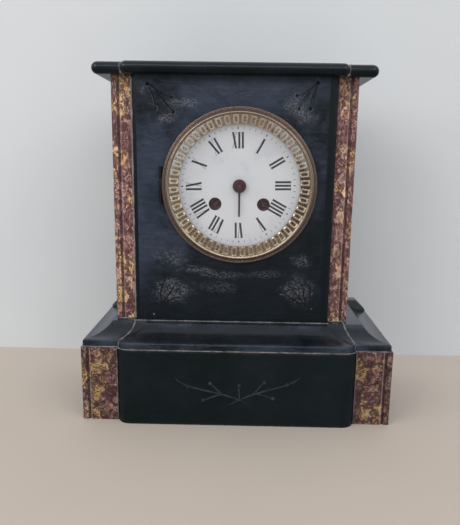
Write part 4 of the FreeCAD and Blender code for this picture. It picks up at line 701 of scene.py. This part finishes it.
# Painted shade: the near-black colour of these cut lines and dots stands in for the shade in the
# grooves.
shaded_cut = line_finish("shaded_cut", (0.004, 0.004, 0.006), (0.014, 0.013, 0.015))
chalk_cut = line_finish("chalk_cut", (0.045, 0.05, 0.058), (0.125, 0.13, 0.145))
faint_cut = line_finish("faint_cut", (0.018, 0.026, 0.028), (0.04, 0.05, 0.05), 0.6)
stems = [
    (1.1, [(-80.2, 297.9), (-76.6, 293.3), (-74.4, 288.0), (-74.0, 280.4)]),
    (1.0, [(-80.0, 300.9), (-77.6, 300.9), (-61.3, 279.8), (-58.8, 277.8)]),
    (1.0, [(-79.6, 299.0), (-77.7, 297.4), (-62.5, 281.0), (-58.8, 277.8)]),
    (0.95, [(-79.0, 300.8), (-75.0, 299.0), (-69.1, 290.6), (-60.2, 289.9)]),
    (0.85, [(-77.0, 304.6), (-74.2, 303.4), (-71.5, 301.3)]),
    (0.8, [(-75.0, 305.6), (-72.0, 304.4), (-69.4, 302.2)]),
    (1.1, [(65.6, 301.6), (63.4, 297.0), (60.6, 291.0), (60.3, 282.1)]),
    (1.0, [(65.2, 301.8), (61.6, 297.4), (55.0, 288.4), (51.0, 281.9)]),
    (1.0, [(64.6, 302.4), (58.6, 295.6), (53.8, 289.0), (50.4, 283.4)]),
    (1.1, [(64.4, 303.0), (58.6, 298.0), (54.0, 291.6), (48.8, 292.1)]),
    (0.85, [(66.0, 303.0), (64.6, 296.0), (62.6, 289.0), (62.4, 284.0)]),
]
dots = [(-80.8, 300.6, 1.9), (-74.3, 280.0, 1.55), (-58.6, 277.6, 1.65), (-59.9, 289.9, 1.25),
        (66.1, 303.2, 1.95), (60.3, 281.6, 1.7), (50.8, 281.6, 1.35), (48.6, 292.3, 1.6)]
carve("engraving_upper", panel_y, shaded_cut, stems, dots)
# Chalk left beside the lines, around one side of each dot and along five of the stems
carve("chalk_upper", panel_y, chalk_cut, [
    (0.55, half_ring(x, z, radius + 0.45, first))
    for (x, z, radius), first in zip(dots, (150, -80, -100, -20, 20, -140, 150, 40))] + [
    (0.4, np.asarray(points) + (-0.95, -0.65))
    for wide, points in stems[:2] + stems[6:8] + stems[9:10]])


def along(points, share):
    """The point at a share of a curve's length of parameter, and the way it runs there."""
    flat = curve(points, 41)
    at = int(round(share * 39))
    return flat[at], (flat[at + 1] - flat[at]) / np.linalg.norm(flat[at + 1] - flat[at])


branches = [
    [(-69.5, 104.0), (-66.0, 110.0), (-63.0, 116.0), (-56.8, 124.4)],
    [(-67.6, 105.0), (-64.0, 108.6), (-58.6, 110.8), (-51.0, 110.6)],
    [(-70.5, 105.0), (-72.6, 112.0), (-71.4, 120.0), (-67.4, 127.0)],
    [(64.6, 103.4), (61.8, 106.4), (54.9, 115.2), (47.6, 124.4)],
    [(64.2, 104.6), (60.7, 110.5), (62.2, 120.1), (56.6, 130.0)],
    [(62.8, 104.8), (56.8, 107.6), (48.5, 111.6), (42.0, 117.6)],
    [(66.2, 105.6), (67.8, 113.0), (67.4, 121.0), (63.4, 128.0)],
]
carve("engraving_foot", panel_y, shaded_cut, [(1.35, points) for points in branches])
# Chalk left in the leaves: three to a branch, turned to either side by turns and bent a little
strokes = []
for number, points in enumerate(branches):
    for count, share in enumerate((0.38, 0.62, 0.9)):
        foot, way = along(points, share)
        turn_side = 1 if (count + number) % 2 else -1
        bend = math.radians(turn_side * (38 + 9 * math.sin(count * 2.3 + number)))
        lean = np.array([way[0] * math.cos(bend) - way[1] * math.sin(bend),
                         way[0] * math.sin(bend) + way[1] * math.cos(bend)])
        length = 4.6 + 1.5 * math.sin(count * 1.7 + number * 2.1)
        start, end = foot + lean * 0.8, foot + lean * length
        bow = np.array([-(end - start)[1], (end - start)[0]]) * 0.12
        strokes.append((0.85, [start, (start + end) / 2 + bow, end]))
for x, z, spread in ((56.0, 148.0, 0.0), (61.5, 145.0, 1.1), (51.0, 149.5, 2.0), (-57, 150, 0.7),
                     (-63.0, 147.0, 2.6)):
    tip = (x + 4.6 * math.cos(1.2 + spread), z + 4.6 * math.sin(1.2 + spread))
    strokes.append((0.6, [(x, z), (x + 2.4, z + 1.5), tip]))
for x, z, length in ((-48.8, 143.1, 13.0), (-36.0, 134.6, 10.0), (-25.0, 135.4, 8.0)):
    strokes.append((0.5, [(x, z), (x + length * 0.4, z - 3.4), (x + length, z - 2.0)]))
carve("chalk_foot", panel_y, chalk_cut, strokes, [(-78.0, 94.4, 1.1), (68.7, 102.0, 1.0)])

twigs = [
    (1.7, [(-54.4, 45.2), (-49.6, 38.6), (-40.0, 34.2), (-22.0, 33.6), (-6.0, 29.6),
           (3.3, 25.6), (10.6, 21.2)]),
    (1.7, [(57.4, 48.6), (52.6, 41.4), (42.0, 37.0), (28.0, 36.4), (12.0, 30.4), (3.3, 25.2),
           (-7.2, 19.8)]),
    (1.5, [(-23.2, 40.3), (-19.0, 37.4), (-16.4, 33.0), (-11.4, 30.0)]),
    (1.5, [(-29.2, 24.2), (-23.4, 26.4), (-18.0, 29.6), (-11.0, 30.0)]),
    (1.4, [(2.8, 38.7), (2.4, 33.0), (3.6, 29.0), (3.2, 25.4)]),
    (1.5, [(25.1, 42.0), (21.6, 39.0), (19.6, 34.4), (14.6, 31.2)]),
    (1.5, [(33.1, 27.3), (26.8, 29.0), (21.0, 31.6), (14.8, 31.4)]),
]
buds = [(-43.4, 36.7), (-23.2, 40.5), (-29.4, 24.1), (2.8, 39.0), (25.3, 42.3), (33.4, 27.1),
        (46.1, 40.5)]
carve("engraving_base", base_y, faint_cut, twigs, [(x, z, 1.75) for x, z in buds])

# Movement: a round French striking movement of pinned brass plates, cut brass wheels and
# blued or polished steel arbors, springs and levers, gone dull behind the dial.

metal_skin, given, place, out = effect(
    "metal_skin", {"Base": "Color", "Stain": "Color", "Share": "Float", "Brush": "Vector"},
    SKIN)
spots = step(noise(place, 75, 5, 0.65, 0.3), 0.4, 0.68)
hairs = noise(place.vector("MULTIPLY", given["Brush"]), 300, 3, 0.6)
stained = (given["Share"] * spots + step(noise(place, 420, 2), 0.6, 0.75) * 0.25).clamped()
link(tint(stained, given["Base"], given["Stain"]), out["Color"])
link(hairs * 0.2 + (stained * 0.3 + 0.16), out["Roughness"])
link(hairs, out["Height"])


def metal_finish(name, base, stain, share, brush, metallic=1.0, **values):
    """Stained metal. Its hair lines lie close together along an axis with a high brush."""
    material, place = finish(name, Metallic=metallic, **values)
    skin = use(metal_skin, place, Base=base, Stain=stain, Share=share, Brush=brush)
    wire(material, skin["Color"], skin["Roughness"], skin["Height"], 0.12, 0.0002)
    return material


brass_stain = (0.2, 0.115, 0.045)
dark_steel = metal_finish("dark_steel", (0.16, 0.15, 0.16), (0.085, 0.04, 0.03), 0.75,
                          (4, 1, 4))
dress("case_straps case_screws", dark_steel)
# The winding arbors dark red-brown, as their squares show in the holes.
dress("going_arbor strike_arbor", metal_finish(
    "winding_arbor_dark_red", (0.05, 0.024, 0.024), (0.02, 0.008, 0.009), 0.7, (4, 1, 4), 0.3))
for names, name, base, stain, share, brush in (
        ("front_plate back_plate plate_pillars going_barrel strike_barrel pendulum_cock",
         "plate_brass", (0.62, 0.42, 0.15), brass_stain, 0.55, (1, 8, 1)),
        ("second_wheel third_wheel escape_wheel minute_wheel hour_wheel count_wheel pin_wheel "
         "locking_wheel", "wheel_brass", (0.66, 0.46, 0.17), brass_stain, 0.4, (6, 1, 6)),
        ("going_click strike_click pallet_anchor strike_fly hammer bell_post pendulum_rod",
         "bright_steel", (0.46, 0.46, 0.48), (0.17, 0.12, 0.1), 0.5, (1, 1, 9)),
        ("going_spring strike_spring suspension_spring", "blue_steel", (0.1, 0.12, 0.2),
         (0.16, 0.13, 0.12), 0.4, (1, 1, 6)),
        ("bell", "bell_metal", (0.46, 0.42, 0.36), (0.17, 0.14, 0.1), 0.6, (1, 6, 1)),
        ("pendulum_bob", "bob_brass", (0.64, 0.43, 0.16), brass_stain, 0.45, (1, 6, 1))):
    dress(names, metal_finish(name, base, stain, share, brush))

# Dial: a convex disc of copper fired with white enamel, pierced for the hands and the two
# winding squares. The hours are painted in black Roman figures with their feet to the middle,
# inside a ring of fine minute dashes, all fired with a slight turn to the left.

enamel, place = finish("enamel_white", Specular_IOR_Level=0.5, Coat_Weight=0.25,
                       Coat_Roughness=0.08)
milky = step(noise(place, 26), 0.35, 0.65)
grime = step(noise(place, 140, 5, 0.7), 0.66, 0.8)
white = tint(milky, (0.635, 0.64, 0.67), (0.7, 0.708, 0.722))
wire(enamel, tint(grime * 0.25, white, (0.5, 0.47, 0.45)), step(milky, 0, 1, 0.24, 0.34),
     noise(place, 60, 2), 0.06, 0.0006)
dress("enamel_dial", enamel)

dial_front, paint_thick = -29.1, 0.045
dial_center, ring_center, dial_tilt = (0.0, 214.0), (-1.0, 214.0), math.radians(1.2)
figure_foot, figure_tall, minute_middle = 33.4, 14.0, 51.0
thick_line, thin_line, serif = 1.85, 0.34, 0.22
# Of each letter its width, its slants by foot, head and width, and its low and high serifs
letter_shapes = {
    "I": (3.15, [(0, 0, thick_line)], [(-1.449, 1.449)], [(-1.449, 1.449)]),
    "V": (5.3, [(0.2, -1.25, thick_line), (0.5, 1.9, thin_line)], [], [(-2.4, 2.5)]),
    "X": (5.3, [(1.3, -1.3, thick_line), (-1.7, 1.7, thin_line)],
          [(-2.3, -0.9), (0.4, 2.4)], [(-2.4, -0.3), (0.9, 2.3)]),
}


def figure_strokes(letters):
    """Four-cornered strokes of a figure, centred, each from its lower left corner around."""
    strokes, at = [], 0.0
    for letter in letters:
        pitch, slants, *serifs = letter_shapes[letter]
        middle = at + pitch / 2
        for foot, head, wide in slants:
            foot, head, half = middle + foot, middle + head, wide / 2
            strokes.append([(foot - half, 0), (foot + half, 0), (head + half, figure_tall),
                            (head - half, figure_tall)])
        for height, rules in zip((0, figure_tall), serifs):
            low, high = height - serif / 2, height + serif / 2
            strokes += [[(middle + start, low), (middle + end, low), (middle + end, high),
                         (middle + start, high)] for start, end in rules]
        at += pitch
    return np.asarray(strokes) - (at / 2, 0)


def on_dial(corners, bearing, lift):
    """Corners stood on the dial at a bearing: across runs clockwise and up runs outwards."""
    bearing = np.atleast_1d(bearing)[:, None, None]
    outwards = np.concatenate([np.sin(bearing), np.cos(bearing)], -1)
    clockwise = np.concatenate([np.cos(bearing), -np.sin(bearing)], -1)
    return ring_center + corners[..., :1] * clockwise + (corners[..., 1:] + lift) * outwards


def painted(name, flat, paint):
    """A piece of thin slabs of paint: their corners on the dial and again in front of it."""
    rear = np.stack([flat[..., 0], np.full(flat.shape[:2], dial_front + sunk), flat[..., 1]], -1)
    points = np.concatenate([rear, rear - (0, paint_thick + sunk, 0)], axis=1).reshape(-1, 3)
    slab = [[4, 5, 6, 7], [0, 3, 2, 1], [0, 1, 5, 4], [1, 2, 6, 5], [2, 3, 7, 6], [3, 0, 4, 7]]
    faces = np.arange(len(flat))[:, None, None] * 8 + np.asarray(slab)
    mesh_piece(name, [(points, faces.reshape(-1, 4).tolist())], "case", paint,
               smooth=False)


black_paint, place = finish("black_paint", Specular_IOR_Level=0.3)
faded = noise(place, 500)
wire(black_paint, tint(faded, (0.012, 0.013, 0.018), (0.04, 0.042, 0.052)),
     step(faded, 0.3, 0.7, 0.35, 0.5), faded, 0.2, 0.0001)
grey_paint, place = finish("grey_paint", Specular_IOR_Level=0.3)
faded = step(noise(place, 120), 0.35, 0.65)
wire(grey_paint, tint(faded, (0.06, 0.07, 0.095), (0.22, 0.25, 0.31)),
     step(faded, 0, 1, 0.35, 0.5), faded, 0.1, 0.0001)
figures = ["I", "II", "III", "IIII", "V", "VI", "VII", "VIII", "IX", "X", "XI", "XII"]
painted("hour_figures", np.concatenate([
    on_dial(figure_strokes(letters), math.radians(30 * hour) - dial_tilt, figure_foot)
    for hour, letters in enumerate(figures, 1)]), black_paint)
# Minute dashes, small and grey but darker and wider at each fifth, and three dark specks
minute = np.arange(60)
fifth = minute % 5 == 0
half_size = np.where(fifth[:, None], (0.45, 0.95), (0.24, 1.1))
dashes = on_dial(half_size[:, None] * [(-1, -1), (1, -1), (1, 1), (-1, 1)],
                 np.radians(6.0 * minute) - dial_tilt, minute_middle)
specks = np.array([[(-15.5, 235.5), (-15.0, 235.4), (-14.8, 236.1), (-15.4, 236.2)],
                   [(-10.9, 237.8), (-10.5, 237.8), (-10.4, 238.3), (-10.9, 238.2)],
                   [(-13.1, 234.1), (-12.8, 234.1), (-12.7, 234.4), (-13.0, 234.5)]])
painted("minute_ticks", dashes[~fifth], grey_paint)
painted("minute_dashes", np.concatenate([dashes[fifth], specks]), black_paint)

# Collars in the two winding holes, around the square ends of the winding arbors. They are
# old iron, brown-red and matt, a dark colour that is rust and also painted shade of the
# holes' insides, and each has a thin flange that covers the hole's edge.


def turned(profile, center, around):
    """A turned ring: its closed outline in (radius, y) spun about an axis along Y."""
    angle = np.linspace(0, 2 * math.pi, around, endpoint=False)[:, None]
    points = spun(profile[:, 0], profile[:, 1], angle, center).reshape(-1, 3)
    return points, grid_faces(around, len(profile), around=True, wrap_rows=True).tolist()


def arc(center, radius, first, last, count=6):
    """Points of an arc in (radius, y), by its bearings in degrees."""
    angle = np.radians(np.linspace(first, last, count))
    return np.stack([center[0] + radius * np.cos(angle), center[1] + radius * np.sin(angle)], -1)


def ring_profile(*runs):
    """Runs of points and arcs as one outline."""
    return np.concatenate([np.asarray(run, float) for run in runs])


# Dark brown-red: rust, and painted shade of the winding holes' insides.
collar_rust_and_shade = metal_finish("collar_rust_and_shade", (0.034, 0.003, 0.007), (0.018, 0.005, 0.01), 0.7,
                           (1, 1, 1), metallic=0.0, Specular_IOR_Level=0.12)
winding_across, winding_z = 22.0, 197.5
collar = ring_profile([(5.28, -27.7), (5.28, -29.12), (5.8, -29.12), (5.82, -29.2),
                       (5.55, -29.36), (5.0, -29.34), (4.7, -29.05), (4.3, -28.75),
                       (3.2, -28.55)], arc((2.75, -28.45), 0.22, -60, -180, 4), [(2.5, -27.7)])
collars = [turned(collar, (x, winding_z), 40) for x in (-winding_across, winding_across)]
mesh_piece("winding_collars", collars, "case", collar_rust_and_shade)

# Hour hand: the only hand left, a plain brown-red steel pointer with a round boss pressed on
# the hour pipe, pointing straight down. The minute hand is missing, as in the photo.

hand_paint, place = finish("hand_steel", Specular_IOR_Level=0.35, Coat_Weight=0.08,
                           Coat_Roughness=0.15)
mottled = step(noise(place, 420, 4, 0.7), 0.4, 0.62)
below_hub = step(xyz(place)[2], 0.208, 0.206)
red = tint(mottled, (0.06, 0.001, 0.005), (0.024, 0.001, 0.004))
wire(hand_paint, tint(below_hub * 0.92, red, (0.022, 0.018, 0.022)),
     step(mottled, 0, 1, 0.26, 0.42), noise(place, 900, 2), 0.2, 0.0001)
hub = turned(ring_profile(
    [(1.75, -31.7), (5.6, -31.7)], arc((5.6, -32.25), 0.52, 90, -60, 7), [(5.1, -32.55)],
    [(4.8, -32.35)], arc((3.6, -32.9), 0.72, -10, -150, 7), [(2.4, -33.2), (1.75, -33.3)]),
    dial_center, 56)
# The pointer: an oval bar that narrows a little towards its rounded tip
pointer_rings, pointer_sides, pointer_y, half_thick = 26, 12, -32.25, 0.34
root_reach, pointer_length, tip_start = 4.6, 23.3, 0.95
t = np.linspace(0, 1, pointer_rings)[:, None]
half = 0.98 - 0.16 * t
rounding = np.sqrt(np.clip(1 - ((t - tip_start) / 0.055) ** 2, 0.05, 1))
half = half * np.where(t > tip_start, rounding, 1)
angle = np.linspace(0, 2 * math.pi, pointer_sides, endpoint=False)
pointer = np.stack(np.broadcast_arrays(
    half * np.cos(angle), pointer_y + half_thick * np.sin(angle) * (0.8 + 0.2 * half),
    dial_center[1] - (root_reach + pointer_length * t)), -1).reshape(-1, 3)
hand = mesh_piece("hour_pointer", [hub, (pointer, tube_faces(pointer_rings, pointer_sides))],
                  "hour", hand_paint)
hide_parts("hour_hand")
dress("center_arbor cannon_pinion", metal_finish(
    "arbor_steel", (0.095, 0.032, 0.032), (0.035, 0.012, 0.014), 0.6, (1, 1, 6), 0.3))

# Bezel: a spun brass drum let into the panel, and a turned brass door hung on its left. The
# door's outer beads are brown with age, the smooth band inside them is tan, and its hinge
# is three knuckles on a steel pin.

patina, given, place, out = effect(
    "turned_patina", {"Center": "Vector", "Outer": "Color", "Inner": "Color", "Start": "Float",
                      "End": "Float"}, SKIN)
x, y, z = xyz(place.vector("SUBTRACT", given["Center"]))
radius_out = (x * x + z * z).math("SQRT")
uneven = (noise(place, 130, 4, 0.6) - 0.5) * 0.0016
spots = step(noise(place, 260, 4, 0.6), 0.52, 0.72)
color = tint(step(radius_out + uneven, given["Start"], given["End"]), given["Inner"],
             given["Outer"])
color = tint(spots * 0.35, color, (0.07, 0.04, 0.028))
beyond_rim = step(radius_out, 0.069, 0.0694)
link(tint(beyond_rim, color, (0.03, 0.027, 0.03)), out["Color"])
link(spots * 0.25 + 0.24, out["Roughness"])
link(noise(put(patina, "CombineXYZ", (radius_out, y)), 2600, 2), out["Height"])


def patina_finish(name, outer, inner, start, end):
    """Turned brass, in its inner colour up to start metres from the axis and then outer."""
    material, place = finish(name, Metallic=0.85)
    skin = use(patina, place, Center=(0, 0, dial_center[1] * MM), Outer=outer, Inner=inner,
               Start=start, End=end)
    wire(material, skin["Color"], skin["Roughness"], skin["Height"], 0.1, 0.0002)
    return material


door_brass = patina_finish("door_brass", (0.27, 0.192, 0.163), (0.39, 0.3, 0.225),
                           0.0656, 0.0668)
drum_brass = patina_finish("drum_brass", (0.1, 0.062, 0.04), (0.3, 0.19, 0.09), 0.061, 0.064)
rim = turned(ring_profile(
    [(62.6, -38.9), (68.75, -38.9), (68.75, -40.1)], arc((68.1, -40.65), 0.66, 10, -125, 8),
    [(67.62, -40.75)], arc((67.1, -41.15), 0.42, 20, -150, 7), [(66.62, -40.95)],
    [(66.45, -41.45), (66.15, -42.25), (65.7, -42.95), (65.2, -43.5), (64.7, -43.8)],
    arc((63.75, -44.05), 0.95, -5, -130, 8), [(62.9, -44.7), (62.4, -44.5)],
    [(62.2, -44.1), (62.2, -43.55), (62.6, -43.55)]), dial_center, 144)
hinge_at, hinge_low, hinge_high = (-70.0, -39.3), 208.65, 219.35
bore, ease = 0.66, 0.25
# The knuckle's outline as radius and height, up its eased outside and down its bore
knuckle_run = np.array([(1.1, hinge_low), (1.28, hinge_low + ease), (1.34, hinge_low + 2 * ease),
                        (1.34, hinge_high - 2 * ease), (1.28, hinge_high - ease),
                        (1.1, hinge_high), (bore, hinge_high), (bore, hinge_low)])
wall_radius, wall_z = knuckle_run.T[:, :, None]
angle = np.linspace(0, 2 * math.pi, 24, endpoint=False)
knuckle = np.stack([hinge_at[0] + wall_radius * np.cos(angle),
                    hinge_at[1] + wall_radius * np.sin(angle),
                    np.broadcast_to(wall_z, (8, 24))], -1).reshape(-1, 3)
knuckle_faces = grid_faces(8, 24, around=True, wrap_rows=True).tolist()


def plate_between(low, high, inset=0.12):
    """A small plate with eased edges: its box, and the same box drawn in at both faces."""
    low, high = np.asarray(low, float), np.asarray(high, float)
    corner = np.array([(0, 0), (1, 0), (1, 1), (0, 1)], float)
    rings = []
    for depth, pull in ((0, 1), (inset, 0), (high[1] - low[1] - inset, 0), (high[1] - low[1], 1)):
        u = low[0] + inset * pull + corner[:, 0] * (high[0] - low[0] - 2 * inset * pull)
        v = low[2] + inset * pull + corner[:, 1] * (high[2] - low[2] - 2 * inset * pull)
        rings.append(np.stack([u, np.full(4, low[1] + depth), v], -1))
    faces = grid_faces(4, 4, around=True).tolist() + [[0, 1, 2, 3], [15, 14, 13, 12]]
    return np.concatenate(rings), faces


leaf_plate = plate_between((-68.95, -39.7, hinge_low), (-66.3, -38.92, hinge_high))
door = mesh_piece("bezel_door_turned", [rim, (knuckle, knuckle_faces), leaf_plate], "bezel_door",
                  door_brass)
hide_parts("door_rim")
dress("bezel_ring", drum_brass)
dress("hinge_pin back_hinge_pin", dark_steel)

# Door glass: a flat pane bedded in the door, old and clean, with a faint film of dust.

glass, place = finish("door_glass", Base_Color=(0.97, 0.98, 0.98), Transmission_Weight=1.0,
                      IOR=1.45, Specular_IOR_Level=0.5)
film = step(noise(place, 40, 4, 0.6), 0.35, 0.7, 0.015, 0.05)
link(film, glass.node_tree.nodes["Principled BSDF"].inputs["Roughness"])
shadow, diffuse = (put(glass.node_tree, "LightPath", output=ray)
                   for ray in ("Is Shadow Ray", "Is Diffuse Ray"))
let_through(glass, shadow.math("MAXIMUM", diffuse))
dress("door_glass", glass)

# Gilt slip: a stamped brass ring behind the glass that slopes in to the dial, gilded. It
# carries forty-eight raised loops with a bead in each, between a plain outer bead and a
# bright smooth inner edge.

loops, per_loop, across_slope = 48, 24, 40
slip_head, slip_foot = np.array([62.35, -41.55]), np.array([54.85, -32.55])
loop_half_wide, loop_half_tall, relief = 1.9, 4.95, 0.75
u = np.arange(loops * per_loop) / per_loop
turn_share, slope = np.meshgrid(u, np.linspace(0, 1, across_slope), indexing="ij")
cell = (turn_share % 1.0) - 0.5
wide = 2 * math.pi * 58.5 / loops
du, dv = cell * wide, (slope - 0.49) * 10.4
loop_out = ((np.abs(du) / loop_half_wide) ** 4 + (np.abs(dv) / loop_half_tall) ** 4) ** 0.25
loop_ridge = np.exp(-((loop_out - 1.0) / 0.3) ** 2)
bead_hump = np.exp(-((du / 0.55) ** 2 + ((dv + 0.4) / 1.5) ** 2))
dart = (np.exp(-(((np.abs(cell) - 0.5) * wide) / 0.42) ** 2)
        * np.clip(1.1 - np.abs(dv + 2.6) / 2.0, 0, 1))
inside = 1 / (1 + np.exp(-(slope - 0.02) * 55)) / (1 + np.exp((slope - 0.95) * 55))
edge_bead = np.exp(-((slope - 0.035) / 0.03) ** 2) + 0.8 * np.exp(-((slope - 0.94) / 0.035) ** 2)
stamped = (inside * np.clip(loop_ridge + 0.15 * bead_hump + 0.12 * dart, 0, 1.15)
           + 0.15 * edge_bead)
run = slip_foot - slip_head
lean = np.array([-run[1], run[0]]) / np.linalg.norm(run)
round_loop = 2 * math.pi / loops
radius, depth = (slip_head[k] + run[k] * slope + lean[k] * relief * stamped for k in (0, 1))
front = spun(radius, depth, turn_share * round_loop, dial_center)
back_radius, back_depth = np.array([(55.35, -32.45), (58.9, -36.8), (62.5, -41.45)]).T
rear = spun(back_radius, back_depth, u[:, None] * round_loop, dial_center)
ring = np.concatenate([front, rear], axis=1)
slip_faces = grid_faces(ring.shape[0], ring.shape[1], around=True, wrap_rows=True).tolist()

# Gold on the loops and brown between them, pale at the left as painted glare from the glass,
# rosy at the top, darker at the right and at the foot as painted shade, and near white at the
# upper left and right as painted reflections
gilding, place = finish("gilding", Metallic=0.85)
raised = step(put(gilding.node_tree, "Attribute", output="Fac", attribute_name="stamped"),
              0.08, 0.65)
tarnish = step(noise(place, 75, 5, 0.7), 0.42, 0.68)
x, y, z = xyz(place.vector("SUBTRACT", (0, 0, dial_center[1] * MM)))
painted_glare_white = (0.9, 0.9, 0.87)
gold = tint(raised, (0.2, 0.13, 0.072), (0.82, 0.63, 0.39))
for mask, share, shade in (
        (tarnish, 0.38, (0.24, 0.15, 0.1)),
        (step(z * 0.5 - x, 0.012, 0.06), 0.88,
         tint(raised, (0.42, 0.31, 0.165), (0.97, 0.91, 0.74))),
        (step(z, 0.04, 0.056) * step(x, -0.03, -0.01), 0.38, (0.72, 0.52, 0.41)),
        (step(x, 0.02, 0.052) * step(z, 0.03, 0.01), 0.75,
         tint(raised, (0.06, 0.034, 0.018), (0.72, 0.58, 0.42))),
        (step(z, -0.036, -0.054), 0.62, (0.27, 0.2, 0.135)),
        # Painted reflections, near white, at the upper left and at the upper right.
        (step(x * -0.82 + z * 0.57, 0.053, 0.0575), 0.6, painted_glare_white),
        (step(x * 0.77 + z * 0.64, 0.053, 0.0575), 0.42, painted_glare_white)):
    gold = tint(mask * share, gold, shade)
wire(gilding, gold, step(tarnish, 0, 1, 0.22, 0.4), noise(place, 700), 0.15, 0.0002)
slip = mesh_piece("gilt_slip_stamped", [(ring.reshape(-1, 3), slip_faces)], "bezel_door",
                  gilding)
high = slip.data.attributes.new("stamped", "FLOAT", "POINT")
high.data.foreach_set("value", np.concatenate([stamped, np.zeros(rear.shape[:2])], 1).ravel())
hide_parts("gilt_slip")

# Back: a turned brass ring screwed to the back slab and a thin hinged brass cover with a
# turned knob, dull and finger-marked.

dress("back_ring back_cover", metal_finish(
    "cover_brass", (0.52, 0.34, 0.12), (0.16, 0.085, 0.035), 0.75, (1, 5, 1)))
